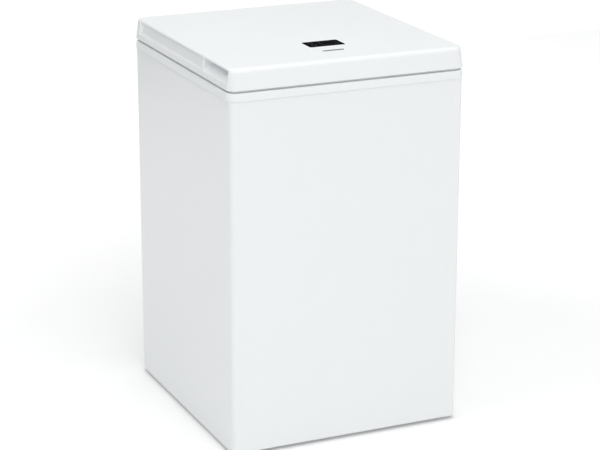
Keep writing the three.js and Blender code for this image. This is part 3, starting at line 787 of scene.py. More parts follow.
# The finish of each CAD node that stays in view, by material slot.
SLOT_FINISHES = {
    "white_paint": baked_enamel,
    "white_lid": moulded_shell,
    "white_plastic": moulded_shell,
    "liner_white": tub_lacquer,
    "pale_plastic": pale_nylon,
    "galvanised_steel": galvanised_sheet,
    "steel": zinc_plated_steel,
    "black_paint": stove_black,
    "black_plastic": black_nylon,
    "display_glass": display_glass,
    "black_rubber": black_rubber,
    "grey_rubber": frosted_grey_rubber,
    "rigid_foam": foam_skin,
    "copper": copper_tube,
    "circuit_board": circuit_lacquer,
    "led_plastic": display_cell,
    "badge_metal": plate_metal,
    "coated_wire": coated_wire,
}


# ---- Lid ----

LID_HEIGHT = LID_HIGH.z - LID_LOW.z


def lid_insets(sizes, h, less=0.0):
    """How far the lid's sides, front and rear stand in from its foot at a height."""
    insets = []
    for round_by in (sizes.side_edge, sizes.front_edge, sizes.side_edge):
        round_by = max(round_by - less, 1 * MM)
        inset = sizes.draft * h / LID_HEIGHT
        start = LID_HEIGHT - less - round_by
        if h > start:
            inset += round_by * (1 - math.sqrt(max(0.0, 1 - ((h - start) / round_by) ** 2)))
        insets.append(inset)
    return insets


def smooth(t):
    """A ramp from 0 to 1 with soft ends."""
    t = min(1.0, max(0.0, t))
    return t * t * t * (t * (6 * t - 15) + 10)


class LidForm:
    """The lid's rings: a rounded rectangle whose two sides dip into the pockets and grooves."""

    DEPTH = LID_HIGH.y - LID_LOW.y
    NOSE = 15.4 * MM  # where the corner's points give way to the side's stations

    def __init__(self, sizes, radius):
        self.sizes, self.radius = sizes, radius
        self.pocket_back = sizes.pocket_end - 0.3 * MM
        # distances behind the lid's front, in millimetres, set close where the sides curve
        corner = [15.4, 15.8, 16, 16.2, 16.5, 16.9, 17.4, 18.1, 19, 20.5, 23, 27, 33]
        pocket = [40, 50, 60, 70, 80, 90, 100, 106]
        rib = [145, 148, 151, 151.8, 152.3, 152.8, 153.3, 153.8, 154.4, 155.2, 156.4, 160, 170]
        groove = list(range(185, 501, 15)) + [506, 510]
        end = [512.5, 514, 514.8, 515.4, 516, 516.5, 517, 517.5, 518, 518.6, 520, 525, 531, 535.6]
        angles = [math.pi / 2 * k / 14 for k in range(15)]
        reach = sizes.pocket_sweep
        bowl = [self.pocket_back - reach * (1 - math.cos(a)) for a in reversed(angles)]
        ridge = [self.pocket_back + k * 0.4 * MM for k in range(1, 6)]
        self.stations = [s * MM for s in corner + pocket] + bowl + ridge
        self.stations += [s * MM for s in rib + groove + end]

    def side(self, s, insets):
        """How far a plain side stands in at a distance behind the lid's front."""
        inset, front, rear = insets
        radius = self.radius
        for reach in (s - front, self.DEPTH - s - rear):
            if reach < radius:
                bite = max(0.0, radius**2 - (radius - reach) ** 2)
                return inset + radius - math.sqrt(bite)
        return inset

    def recess(self, s):
        """Weights of the plain side, the groove and the hand pocket at a station."""
        z = self.sizes
        front_ramp, groove_ramp, tail = 1.6 * MM, 2.4 * MM, 2 * MM
        lasting = 0.1  # the share of the pocket's depth at its very end, where its curve starts
        groove = smooth((s - z.groove_start) / groove_ramp)
        groove -= smooth((s - (z.groove_end - groove_ramp)) / groove_ramp)
        if s <= self.pocket_back:
            u = min(1.0, (self.pocket_back - s) / z.pocket_sweep)
            pocket = lasting + (1 - lasting) * math.sqrt(1 - (1 - u) ** 2)
        else:
            pocket = lasting * max(0.0, 1 - (s - self.pocket_back) / tail) ** 2
        pocket *= smooth((s - z.pocket_start) / front_ramp)
        return 1 - groove - pocket, groove, pocket

    def ring(self, level):
        """One ring: a level is the side's insets and height, and each recess's (inset, height)."""
        insets, height, groove, pocket = level
        side = []
        for s in self.stations:
            base = self.side(s, insets)
            weights = self.recess(s)
            points = [(base, height)] + [(max(base, q), h) for q, h in (groove, pocket)]
            q = sum(w * point[0] for w, point in zip(weights, points))
            h = sum(w * point[1] for w, point in zip(weights, points))
            side.append((q, LID_LOW.y + s, h))
        radius = self.radius
        corners = []
        for s, inset, edge, toward in (
            (self.NOSE, insets[1], LID_LOW.y + insets[1], 1),
            (self.DEPTH - self.stations[-1], insets[2], LID_HIGH.y - insets[2], -1),
        ):
            first = math.asin(min(1.0, max(0.0, (radius - (s - inset)) / radius)))
            arc = []
            for i in range(1, 10):
                angle = first + (math.pi / 2 - first) * i / 9
                q = insets[0] + radius * (1 - math.cos(angle))
                arc.append((q, edge + toward * radius * (1 - math.sin(angle)), height))
            corners.append(arc)
        half = corners[0][::-1] + side + corners[1]
        right = [(LID_HIGH.x - q, y, LID_LOW.z + h) for q, y, h in half]
        left = [(LID_LOW.x + q, y, LID_LOW.z + h) for q, y, h in reversed(half)]
        return right + left


def plain_level(insets, h):
    """A level of the lid whose recesses follow its plain side."""
    return (insets, h, (insets[0], h), (insets[0], h))


def outer_levels(sizes):
    """The lid's rings from the rim of its flat top down to its foot."""
    edge, top = sizes.front_edge, LID_HEIGHT - sizes.front_edge
    brow = LID_HEIGHT - sizes.brow
    # between these two heights a recess leaves the plain side
    high, low = brow + 1.2 * MM, sizes.lip - 3.4 * MM

    def skin(h):
        """A point on the plain side."""
        return (lid_insets(sizes, h)[0], h)

    def section(back, radii):
        """A recess in section: the side, its brow, its back's two corners, its lip, the side."""
        corners = [skin(high), skin(brow), *back, skin(sizes.lip), skin(low)]
        return rounded(corners, [r * MM for r in (0, 0.5, *radii, 0)], steps=7)

    ceiling, deep, lean = brow - 0.4 * MM, sizes.groove_depth, 1.7 * MM
    groove = section(((deep + lean, ceiling), (deep, sizes.lip + 4.6 * MM)), (1.2, 1.8, 1.0))
    ceiling, deep, lean = brow - 1.4 * MM, sizes.pocket_depth, 2 * MM
    pocket = section(
        ((deep, ceiling), (deep - lean, sizes.lip + sizes.pocket_rise)), (4, 12, 1.3)
    )

    levels = []
    steps = 12
    for i in range(steps):
        h = top + edge * math.sin(math.pi / 2 * (1 - i / steps))
        if h > high + 0.2 * MM:
            levels.append(plain_level(lid_insets(sizes, h), h))
    lengths = [0.0]
    for a, b in zip(groove, groove[1:]):
        lengths.append(lengths[-1] + (Vector(b) - Vector(a)).length)
    for at, in_groove, in_pocket in zip(lengths, groove, pocket):
        h = high - (high - low) * at / lengths[-1]
        levels.append((lid_insets(sizes, h), h, in_groove, in_pocket))
    for h in (low - 3 * MM, 2.4 * MM, 0.9 * MM):
        levels.append(plain_level(lid_insets(sizes, h), h))
    foot = 0.8 * MM  # the round of the lower edge
    for a in (0.5, 1.05, math.pi / 2):
        levels.append(plain_level([foot * (1 - math.cos(a))] * 3, foot * (1 - math.sin(a))))
    return levels


def inner_levels(sizes):
    """The lid's rings from its foot up inside, to the underside of its top."""
    wall = sizes.wall
    shelf, top = sizes.lip - wall, LID_HEIGHT - wall
    recesses = (sizes.groove_depth + wall, sizes.pocket_depth + wall)

    def inside(h):
        """The insets of the wall's inner face."""
        return [i + wall for i in lid_insets(sizes, h, wall)]

    levels = [plain_level([wall - 0.5 * MM] * 3, 0.0), plain_level([wall] * 3, 0.5 * MM)]
    levels.append(plain_level(inside(shelf - 1 * MM), shelf - 1 * MM))
    climb = 2 * MM  # how far the plain side rises while the recesses' shelves are crossed
    for step in range(1, 6):
        share = step / 5
        h = shelf + share * climb
        crossed = [(wall + (far - wall) * share, shelf) for far in recesses]
        levels.append((inside(h), h, *crossed))
    for step in range(1, 9):
        share = step / 8
        side = shelf + climb + (top - shelf - climb) * share
        h = shelf + (top - shelf) * share
        levels.append((inside(side), side, *((far, h) for far in recesses)))
    return levels


def fill_between(bm, loops):
    """Fills the flat region inside the first ring of vertices and outside the others."""
    verts = [v for loop in loops for v in loop]
    edges, start = [], 0
    for loop in loops:
        count = len(loop)
        edges += [(start + i, start + (i + 1) % count) for i in range(count)]
        start += count
    owner = [k for k, loop in enumerate(loops) for _ in loop]
    points = [v.co.xy for v in verts]
    inside_only, tolerance = 1, 1e-7
    _, _, faces, sources, _, _ = delaunay_2d_cdt(points, edges, [], inside_only, tolerance)
    for face in faces:
        corners = [sources[i][0] for i in face]
        rings = {owner[i] for i in corners}
        if len(rings) > 1 or rings == {0}:  # a triangle on one inner ring alone fills its hole
            bm.faces.new([verts[i] for i in corners])


def flat_ring(bm, low, high, inset, radius, z, steps=6):
    """Vertices round a rounded rectangle at a height."""
    points = plan_ring(low.x + inset, high.x - inset, low.y + inset, high.y - inset, radius, steps)
    return [bm.verts.new((x, y, z)) for x, y in points]


def lid_shell(sizes, corner, material):
    """The lid's shell: its skin, the display's opening and the name plate's shallow seat."""
    form = LidForm(sizes, corner)
    bm = bmesh.new()
    skin = outer_levels(sizes) + inner_levels(sizes)
    levels = [[bm.verts.new(p) for p in form.ring(level)] for level in skin]
    for a, b in zip(levels, levels[1:]):
        bridge(bm, a, b)
    top, ceiling = LID_HIGH.z, levels[-1][0].co.z
    rim = 0.35 * MM
    hole = [
        flat_ring(bm, LENS_LOW, LENS_HIGH, -SIDE_GAP - inset, 4 * MM + inset, z)
        for inset, z in ((rim, top), (rim * 0.3, top - rim * 0.3), (0, top - rim), (0, ceiling))
    ]
    seat = [
        flat_ring(bm, PLATE_LOW, PLATE_HIGH, -inset, PLATE_RADIUS + inset, z)
        for inset, z in ((0.5 * MM, top), (0.25 * MM, top - 0.12 * MM), (0.25 * MM, top - 0.5 * MM))
    ]
    for rings in (hole, seat):
        for a, b in zip(rings, rings[1:]):
            bridge(bm, a, b)
    bm.faces.new(seat[-1])
    fill_between(bm, [levels[0], hole[0], seat[0]])
    fill_between(bm, [levels[-1], hole[-1]])
    return shade(new_object("lid_shell", outward(bm), material), 30)


class FREEZER_OT_lid_shell(Operator):
    """Moulds the lid's outer shell with its hand pockets, side grooves and window"""

    bl_idname = "freezer.lid_shell"
    bl_label = "Lid shell"

    def execute(self, context):
        sizes = context.scene.freezer_lid
        corner = context.scene.freezer_cabinet.lid_corner
        obj = lid_shell(sizes, corner, moulded_shell())
        settle(obj, "lid", ("lid_outer",))
        return {"FINISHED"}


def display_marks(low, high, z):
    """Printed strokes on the glass: two key outlines at the left and a frame round the digits."""
    bm = bmesh.new()
    middle = (low + high) / 2
    stroke, lift, sink = 0.5 * MM, 0.03 * MM, 0.1 * MM

    def frame_of(x0, x1, y0, y1, radius):
        outer = plan_ring(x0, x1, y0, y1, radius, 5)
        inner = plan_ring(
            x0 + stroke, x1 - stroke, y0 + stroke, y1 - stroke, radius - stroke, 5
        )
        levels = ((outer, z - sink), (outer, z + lift), (inner, z + lift), (inner, z - sink))
        part = skin_rings(
            [[(x, y, level) for x, y in ring] for ring, level in levels], closed_profile=True
        )
        mesh = bpy.data.meshes.new("mark")
        part.to_mesh(mesh)
        part.free()
        bm.from_mesh(mesh)
        bpy.data.meshes.remove(mesh)

    left, key = low.x + 9 * MM, 11 * MM
    for y in (middle.y - 10 * MM, middle.y + 10 * MM):
        frame_of(left, left + key, y - key / 2, y + key / 2, 5.4 * MM)
    digits = high.x - 47 * MM, high.x - 10 * MM, middle.y - 13 * MM, middle.y + 13 * MM
    frame_of(*digits, 2 * MM)
    return new_object("display_marks", bm, printed_mark())


class FREEZER_OT_display(Operator):
    """Lays the black display glass and the blank name plate into the lid"""

    bl_idname = "freezer.display"
    bl_label = "Display and name plate"

    def execute(self, context):
        low, high = LENS_LOW, LENS_HIGH
        ease = 0.5 * MM
        profile = [(0.0, low.z), (0.0, high.z - ease)]
        for a in (math.pi / 6, math.pi / 3, math.pi / 2):
            profile.append((ease * (1 - math.cos(a)), high.z - ease + ease * math.sin(a)))
        glass = sweep_plan(low, high, lambda inset: 4 * MM - inset, profile, capped=True)
        finished(
            "display_glass", glass, display_glass(), 30, "lid", "display_glass", "display_lens"
        )
        settle(display_marks(low, high, high.z), "lid")

        low, high = PLATE_LOW, PLATE_HIGH
        profile = [
            (0.0, low.z),
            *near(0.0, high.z, (0, -0.25), (0.1, -0.08), (0.3, 0), (0.9, 0), (1.05, -0.2)),
        ]
        plate = sweep_plan(low, high, lambda inset: PLATE_RADIUS - inset, profile, capped=True)
        finished("blank_plate", plate, plate_metal(), 30, "lid", "badge_metal", "name_plate")
        return {"FINISHED"}


class FREEZER_OT_lid_inside(Operator):
    """Forms the lid's inner panel, its raised plug and the seal round it"""

    bl_idname = "freezer.lid_inside"
    bl_label = "Inner panel and seal"

    def execute(self, context):
        low, high = span("lid_inner")
        wall = 1.6 * MM
        plate_z = LID_LOW.z
        plug = 50 * MM - (low.x - LID_LOW.x)
        plug_radius = 25 * MM
        edge_radius = context.scene.freezer_cabinet.lid_corner - 2.5 * MM
        outside = [
            (0.0, plate_z + wall),
            *near(0.0, plate_z, (0, 0.3), (0.3, 0)),
            *near(plug, plate_z, (-3.2, 0), (-1.6, -0.5), (-0.6, -1.6), (0, -3.4)),
            *near(plug, low.z, (0.9, 3), (1.8, 1.2), (3.6, 0)),
            *near(plug, low.z, (24, 0), (26, 0.25), (29, 0.85), (32, 1)),
        ]
        inside = [
            *near(plug, low.z + wall, (31, 1), (24, 0), (3.4, 0)),
            (plug + wall, plate_z - 3.4 * MM),
            (plug + wall, plate_z + wall),
        ]

        def radius(inset):
            if inset < plug - 4 * MM:
                return max(edge_radius - inset * 0.3, 3 * MM)
            return max(plug_radius - (inset - plug) * 0.4, 6 * MM)

        bm = bmesh.new()
        skins = [
            [flat_ring(bm, low, high, inset, radius(inset), z, 10) for inset, z in side]
            for side in (outside, inside)
        ]
        for rings in skins:
            for a, b in zip(rings, rings[1:]):
                bridge(bm, a, b)
        bridge(bm, skins[1][-1], skins[0][0])
        bm.faces.new(skins[0][-1])
        bm.faces.new(skins[1][0])
        finished(
            "lid_inner_panel",
            outward(bm),
            moulded_shell(),
            40,
            "lid",
            "white_plastic",
            "lid_inner",
        )

        low, high = span("lid_gasket")
        section = [
            *near(0.0, high.z, (-3.6, -0.4), (-4.4, -1.1), (-4.9, -2.2)),
            *near(0.0, low.z, (-4.4, 0.9), (-3.2, 0.15), (-1, 0), (10.5, 0), (12.4, 0.4)),
            *near(0.0, low.z, (13.4, 1.3), (12.9, 2.3), (14.2, 3), (16, 3.2)),
            *near(0.0, high.z, (16, -0.3), (15.7, 0), (-3.2, 0)),
        ]
        seal = sweep_plan(
            low, high, lambda inset: max(10 * MM - inset, 2 * MM), section, closed_profile=True
        )
        finished("lid_seal", seal, seal_vinyl(), 50, "lid", "grey_rubber", "lid_gasket")
        return {"FINISHED"}


# ---- Cabinet ----


def offset_path(path, distance):
    """A polyline in plan moved sideways, to its left."""
    out = []
    for i, point in enumerate(path):
        here = Vector(point)
        before = (here - Vector(path[i - 1])).normalized() if i else None
        after = (Vector(path[i + 1]) - here).normalized() if i + 1 < len(path) else None
        along = ((before or after) + (after or before)).normalized()
        out.append(tuple(here + Vector((-along.y, along.x)) * distance))
    return out


class FREEZER_OT_cabinet(Operator):
    """Bends the cabinet's steel round its four corners, with hemmed edges at the back"""

    bl_idname = "freezer.cabinet"
    bl_label = "Cabinet steel"

    def execute(self, context):
        sizes = context.scene.freezer_cabinet
        low, high = CABINET_LOW, CABINET_HIGH
        fold, sheet = sizes.fold, sizes.sheet
        corners = [
            (low.x + fold, high.y),
            (low.x, high.y),
            (low.x, low.y),
            (high.x, low.y),
            (high.x, high.y),
            (high.x - fold, high.y),
        ]
        outer = rounded(corners, [0] + [sizes.corner] * 4 + [0], steps=14)
        inner = offset_path(outer, sheet)
        ease = 0.25 * MM
        rings = []
        edges = ((ease, low.z), (0, low.z + ease), (0, high.z - ease), (ease, high.z))
        for inset, z in edges:
            a = offset_path(outer, inset)
            b = offset_path(inner, -inset)
            rings.append([(x, y, z) for x, y in a + b[::-1]])
        finished(
            "cabinet_skin",
            skin_rings(rings, capped=True),
            baked_enamel(),
            35,
            "cabinet",
            "white_paint",
            "cabinet_wrapper",
        )
        return {"FINISHED"}


class FREEZER_OT_collar(Operator):
    """Moulds the collar round the tub's mouth, with the ledge that carries the basket"""

    bl_idname = "freezer.collar"
    bl_label = "Collar"

    def execute(self, context):
        cab = context.scene.freezer_cabinet
        low, high = span("top_collar")
        foot = CABINET_HIGH.z + SIDE_GAP
        ledge_z = high.z - 12.5 * MM
        mouth, rebate = 63.3 * MM, 47.3 * MM
        tub_edge = span("inner_liner")[1].x - 12 * MM
        mouth_radius = cab.tub_corner + (LID_HIGH.x - tub_edge) - mouth
        wall, skirt, ceiling = 2.5 * MM, 4.8 * MM, high.z - 3 * MM
        profile = [
            (skirt, foot),
            *near(0.0, foot, (0.4, 0), (0.1, 0.15), (0, 0.5)),
            *near(0.0, high.z, (0, -3.4), (0.25, -2.1), (1, -1), (2.1, -0.25), (3.4, 0)),
            *near(rebate, high.z, (-1.6, 0), (-0.5, -0.45), (0, -1.6)),
            *near(rebate, ledge_z, (0, 1.5), (0.45, 0.4), (1.5, 0)),
            *near(mouth, ledge_z, (-1.2, 0), (-0.35, -0.35), (0, -1.2)),
            *near(mouth, low.z, (0, 0.4), (-0.4, 0), (-1.6, 0), (-2, 0.4)),
            (mouth - 2 * MM, ledge_z - wall),
            (rebate - wall, ledge_z - wall),
            (rebate - wall, ceiling),
            (skirt, ceiling),
        ]

        def radius(inset):
            if inset < 20 * MM:
                return max(cab.lid_corner - inset, 6 * MM)
            return mouth_radius + (mouth - inset)

        bm = sweep_plan(LID_LOW, LID_HIGH, radius, profile, closed_profile=True)
        finished(
            "collar_moulding", bm, moulded_shell(), 35, "cabinet", "white_plastic", "top_collar"
        )
        return {"FINISHED"}


class FREEZER_OT_tub(Operator):
    """Draws the tub with its compressor step, rounded corners and sloping floor"""

    bl_idname = "freezer.tub"
    bl_label = "Tub"

    def execute(self, context):
        obj = refined_node("inner_liner", tub_lacquer(), 6 * MM, segments=4, angle=50)
        settle(obj, "cabinet", ("inner_liner",))
        return {"FINISHED"}


# ---- Basket ----


def line_bmesh(points):
    """A bmesh holding one polyline."""
    bm = bmesh.new()
    verts = [bm.verts.new(p) for p in points]
    for a, b in zip(verts, verts[1:]):
        bm.edges.new((a, b))
    return bm


def arc_path(points, radius, steps=6):
    """An open 3D polyline with rounded corners."""
    return rounded(points, [radius] * len(points), steps)


def join_objects(name, objects, material):
    """Several objects' meshes as one new object."""
    bm = bmesh.new()
    for obj in objects:
        bm.from_mesh(obj.data)
        bpy.data.objects.remove(obj)
    return new_object(name, bm, material)


class FREEZER_OT_basket(Operator):
    """Welds the hanging wire basket: hoops, runs, bands, rim and hangers"""

    bl_idname = "freezer.basket"
    bl_label = "Wire basket"

    def execute(self, context):
        sizes = context.scene.freezer_basket
        material = coated_wire()
        low, high = span("basket")
        thin, thick = sizes.thin_wire / 2, sizes.thick_wire / 2
        rim_z, foot = low.z + 160 * MM, low.z + thin
        x = high.x - thick
        middle = (low.y + high.y) / 2
        half = (high.y - low.y) / 2 - 17 * MM
        side, end = x - thick - thin, half - thick - thin
        taper, bend = 8 * MM, 18 * MM

        def row(name, path, count, step):
            values = {"Count": count, "Step": step, "Radius": thin, "Material": material}
            path = line_bmesh(arc_path(path, bend))
            return run_tree(name, path, wire_array_tree(), values, material)

        first = middle - half + 22 * MM
        step = 2 * (middle - first) / (sizes.hoops - 1)
        hoop = [
            (-side, first, rim_z),
            (-side + taper, first, foot),
            (side - taper, first, foot),
            (side, first, rim_z),
        ]
        pieces = [row("hoops", hoop, sizes.hoops, (0, step, 0))]

        run_x = side - 26 * MM
        step = 2 * run_x / (sizes.runs - 1)
        run = [
            (-run_x, middle - end, rim_z),
            (-run_x, middle - end + taper, foot + 2 * thin),
            (-run_x, middle + end - taper, foot + 2 * thin),
            (-run_x, middle + end, rim_z),
        ]
        pieces.append(row("runs", run, sizes.runs, (step, 0, 0)))

        bm = bmesh.new()
        lowest = foot + 12 * MM
        for i in range(sizes.bands):
            z = lowest + (rim_z - lowest) * (i + 0.6) / (sizes.bands + 0.1)
            inset = taper * (rim_z - z) / (rim_z - foot) + 2 * thin
            across, along = side - inset, end - inset
            ring = plan_ring(-across, across, middle - along, middle + along, 16 * MM, 6)
            swept_wire(bm, [(px, py, z) for px, py in ring], thin, 8, closed=True)
        along = half - thick
        rim = plan_ring(-x, x, middle - along, middle + along, 20 * MM, 8)
        swept_wire(bm, [(px, py, rim_z - thick) for px, py in rim], thick, 12, closed=True)

        rest, hanger_x = high.z - thick, 70 * MM
        for toward in (-1, 1):
            y = middle + toward * (half - thick * 2.2)
            out = middle + toward * ((high.y - low.y) / 2 - thick)
            leg = ((y, rim_z - 30 * MM), (y, rest), (out, rest))
            path = [(-hanger_x, *p) for p in leg] + [(hanger_x, *p) for p in reversed(leg)]
            swept_wire(bm, arc_path(path, 8 * MM), thick, 12)
        pieces.append(new_object("frame_wires", bm, material))
        obj = join_objects("basket_wires", pieces, material)
        settle(shade(obj, 40), "basket", ("basket",))
        return {"FINISHED"}


class FREEZER_OT_handles(Operator):
    """Bends the two basket handles and slips a ribbed grip on each"""

    bl_idname = "freezer.handles"
    bl_label = "Basket handles"

    def execute(self, context):
        for side in ("left", "right"):
            node = f"basket_handle_{side}"
            low, high = span(node)
            wire = (high.x - low.x) / 2
            x = low.x + wire
            front, back, foot = low.y + wire, high.y - wire, low.z + wire
            points = [(x, front, high.z), (x, front, foot), (x, back, foot), (x, back, high.z)]
            bm = swept_wire(bmesh.new(), arc_path(points, 12 * MM, 8), wire, 14)
            name = f"handle_wire_{side}"
            finished(name, bm, coated_wire(), 40, node, "coated_wire", node)

            grip = f"handle_grip_{side}"
            low, high = span(grip)
            big, half = (high.x - low.x) / 2, (high.y - low.y) / 2
            bore = wire + 0.1 * MM
            profile = [(bore, -half), *near(big, -half, (-1.6, 0), (-0.4, 0.8), (0, 2.4))]
            ribs, plain = 9, 6 * MM
            for i in range(ribs):
                y = (half - plain) * (2 * i / (ribs - 1) - 1)
                profile += near(big, y, (0, -1.6), (-0.8, -0.6), (-0.8, 0.6), (0, 1.6))
            profile += near(big, half, (0, -2.4), (-0.4, -0.8), (-1.6, 0))
            profile += [(bore, half), (bore, -half)]
            bm = turned(profile, 28, "Y", (low + high) / 2)
            name = f"ribbed_grip_{side}"
            finished(name, bm, pale_nylon(), 40, node, "pale_plastic", grip)
        return {"FINISHED"}


# ---- Hinges ----


def coil_path(low, high, wire, turns=7, steps=20):
    """An upright coil's centre line; its end turns lie close together, as ground ends do."""
    middle = (low + high) / 2
    radius = (high.x - low.x) / 2 - wire
    path = []
    for i in range(turns * steps + 1):
        share = i / (turns * steps)
        rise = share + 0.09 * math.sin(2 * math.pi * share) / 1.6
        angle = 2 * math.pi * i / steps
        path.append(
            (
                middle.x + radius * math.cos(angle),
                middle.y + radius * math.sin(angle),
                low.z + wire + (high.z - low.z - 2 * wire) * min(1, max(0, rise)),
            )
        )
    return path


class FREEZER_OT_hinges(Operator):
    """Finishes the two spring hinges: bracket, pin, leaf, slider and spring"""

    bl_idname = "freezer.hinges"
    bl_label = "Hinges"

    def execute(self, context):
        for side in ("left", "right"):
            slider = f"hinge_slider_{side}"
            for node, finish, bevel, segments, body, slot in (
                (f"hinge_body_{side}", galvanised_sheet, 0.35, 2, "cabinet", "galvanised_steel"),
                (f"hinge_leaf_{side}", galvanised_sheet, 0.35, 2, "lid", "galvanised_steel"),
                (slider, black_nylon, 0.5, 3, slider, "black_plastic"),
            ):
                settle(refined_node(node, finish(), bevel * MM, segments), body, (node,))

            pin = f"hinge_pin_{side}"
            low, high = span(pin)
            half, head, shank = (high.x - low.x) / 2, (high.z - low.z) / 2, 2.5 * MM
            thick = 1.8 * MM
            profile = [
                (0, -half),
                (head * 0.55, -half + 0.12 * MM),
                (head * 0.9, -half + 0.6 * MM),
                (head, -half + thick * 0.75),
                (head, -half + thick),
                (shank, -half + thick),
            ]
            profile += [(r, -z) for r, z in reversed(profile)]
            bm = turned(profile, 32, "X", (low + high) / 2)
            finished(f"rivet_{side}", bm, zinc_plated_steel(), 30, "cabinet", "steel", pin)

            spring = f"hinge_spring_{side}"
            low, high = span(spring)
            wire = 1.1 * MM
            bm = swept_wire(bmesh.new(), coil_path(low, high, wire), wire, 10)
            obj = new_object(f"coil_spring_{side}", bm, zinc_plated_steel())
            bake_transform(shade(obj, 40))
            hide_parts(spring)
        return {"FINISHED"}


# ---- Back ----


def louvre(length, width, rise, wall):
    """One pressed hood, closed at both ends and open along one long side."""
    stations, steps = 18, 6
    shares = [k / steps for k in range(steps + 1)]
    rings = []
    for i in range(stations + 1):
        along = 2 * i / stations - 1
        height = rise * max(0.06, math.sqrt(1 - along**4))
        outer = [(width * (s - 0.5), height * math.sin(math.pi / 2 * s)) for s in shares]
        inner = [(x, y - wall) for x, y in reversed(outer)]
        rings.append([(x, y, along * length / 2) for x, y in outer + inner])
    return skin_rings(rings, capped=True)


def slot_centres():
    """The middles of the bay cover's slots, found from the cover's own upright edges."""
    margin, slot_width, shortest, longest = 5 * MM, 5 * MM, 50 * MM, 70 * MM
    heights = {}
    for v in frame["nodes"]["bay_cover"].data.vertices:
        x, z = v.co.x, v.co.z
        across = COVER_LOW.x + margin < x < COVER_HIGH.x - margin
        if across and COVER_LOW.z + margin < z < COVER_HIGH.z - margin:
            heights.setdefault(round(x, 4), set()).add(round(z, 4))
    centres = []
    for a in sorted(heights):
        for b in sorted(heights):
            if abs(b - a - slot_width) < 0.2 * MM:
                zs = sorted(heights[a] & heights[b])
                for low, high in zip(zs, zs[1:]):
                    if shortest < high - low < longest:
                        centres.append(((a + b) / 2, (low + high) / 2))
    return centres


class FREEZER_OT_back(Operator):
    """Cuts the rear panel, presses the hooded cover of the compressor bay, and screws them on"""

    bl_idname = "freezer.back"
    bl_label = "Rear panel and bay cover"

    def execute(self, context):
        steel = galvanised_sheet()
        low, high = span("rear_panel")
        sheet = bmesh.new()
        bmesh.ops.create_cube(sheet, size=1)
        place = Matrix.Translation((low + high) / 2)
        sheet.transform(place @ Matrix.Diagonal((*(high - low), 1)))
        finished("rear_sheet", sheet, steel, 30, "cabinet", "galvanised_steel", "rear_panel")

        cover = refined_node("bay_cover", steel, 0.3 * MM)
        settle(cover, "cabinet", ("bay_cover",))
        hood = new_object("hood", louvre(66 * MM, 9 * MM, 3.4 * MM, 0.9 * MM), steel)
        points = bmesh.new()
        for x, z in slot_centres():
            points.verts.new((x + 1 * MM, COVER_HIGH.y - 0.2 * MM, z))
        values = {"Hood": hood, "Material": steel}
        hoods = run_tree("louvre_hoods", points, louvre_tree(), values, steel)
        bpy.data.objects.remove(hood)
        settle(shade(hoods, 40), "cabinet")

        from_edge = 9 * MM
        columns = (COVER_LOW.x + from_edge, 0.0, COVER_HIGH.x - from_edge)
        rows = (COVER_LOW.z + from_edge, COVER_HIGH.z - from_edge)
        spots = [(x, COVER_HIGH.y, z) for x in columns for z in rows]
        screws("cover_screws", spots, 4 * MM, 1.8 * MM)

        fold_x, rise = CABINET_HIGH.x - 17 * MM, CABINET_HIGH.z - COVER_HIGH.z
        spots = [
            (x, CABINET_HIGH.y, COVER_HIGH.z + rise * share)
            for x in (-fold_x, fold_x)
            for share in (0.1, 0.37, 0.64, 0.93)
        ]
        screws("back_screws", spots, 3.2 * MM, 1.6 * MM)

        spots = []
        for side in ("left", "right"):
            a, b = span(f"hinge_body_{side}")
            x, y = (a.x + b.x) / 2, a.y + 2 * MM
            spots += [(x, y, a.z + up) for up in (12 * MM, 34 * MM)]
        screws("hinge_screws", spots, 3.4 * MM, 1.7 * MM)
        return {"FINISHED"}


class FREEZER_OT_fittings(Operator):
    """Finishes the small moulded and pressed pieces round the cabinet"""

    bl_idname = "freezer.fittings"
    bl_label = "Feet and fittings"

    def execute(self, context):
        for end in ("front", "rear"):
            for side in ("left", "right"):
                node = f"foot_{end}_{side}"
                low, high = span(node)
                r, h = (high.x - low.x) / 2, (high.z - low.z) / 2
                hollow = -h + 0.8 * MM
                profile = [
                    (0, hollow),
                    (r * 0.35, hollow),
                    (r * 0.42, -h),
                    *near(r, -h, (-2.2, 0), (-0.6, 0.7), (0, 2), (0, 4.2), (-1.2, 4.8)),
                    *near(r, h, (-1.2, -1.4), (-0.2, -1), (-0.2, 0)),
                    (0, h),
                ]
                bm = turned(profile, 40, "Z", (low + high) / 2)
                name = f"{node}_turned"
                finished(name, bm, black_nylon(), 35, "cabinet", "black_plastic", node)

        for node, finish, bevel, body in (
            ("wall_spacer_left", pale_nylon, 2.0, "cabinet"),
            ("wall_spacer_right", pale_nylon, 2.0, "cabinet"),
            ("drain_cap", pale_nylon, 0.8, "drain_cap"),
            ("drain_plug", frosted_grey_rubber, 0.9, "drain_plug"),
            ("cable_gland", black_nylon, 0.6, "cabinet"),
            ("temperature_probe", pale_nylon, 1.2, "cabinet"),
            ("terminal_cover", black_nylon, 1.5, "cabinet"),
            ("power_board_box", pale_nylon, 1.5, "cabinet"),
            ("compressor_foot_plate", zinc_plated_steel, 0.5, "cabinet"),
            ("compressor_shell", stove_black, 2.5, "cabinet"),
            ("bay_floor", galvanised_sheet, 0.4, "cabinet"),
        ):
            obj = refined_node(node, finish(), bevel * MM, segments=3)
            settle(obj, body, (node,))
        return {"FINISHED"}


class FREEZER_OT_dress_frame(Operator):
    """Gives every remaining CAD node the finish of its slot"""

    bl_idname = "freezer.dress_frame"
    bl_label = "Inner pieces' finishes"

    def execute(self, context):
        for piece in frame["record"]["subparts"]:
            obj = frame["nodes"][piece["node"]]
            obj.data.materials.clear()
            obj.data.materials.append(SLOT_FINISHES[piece["material_slot"]]())
        return {"FINISHED"}


# ---- Stage ----


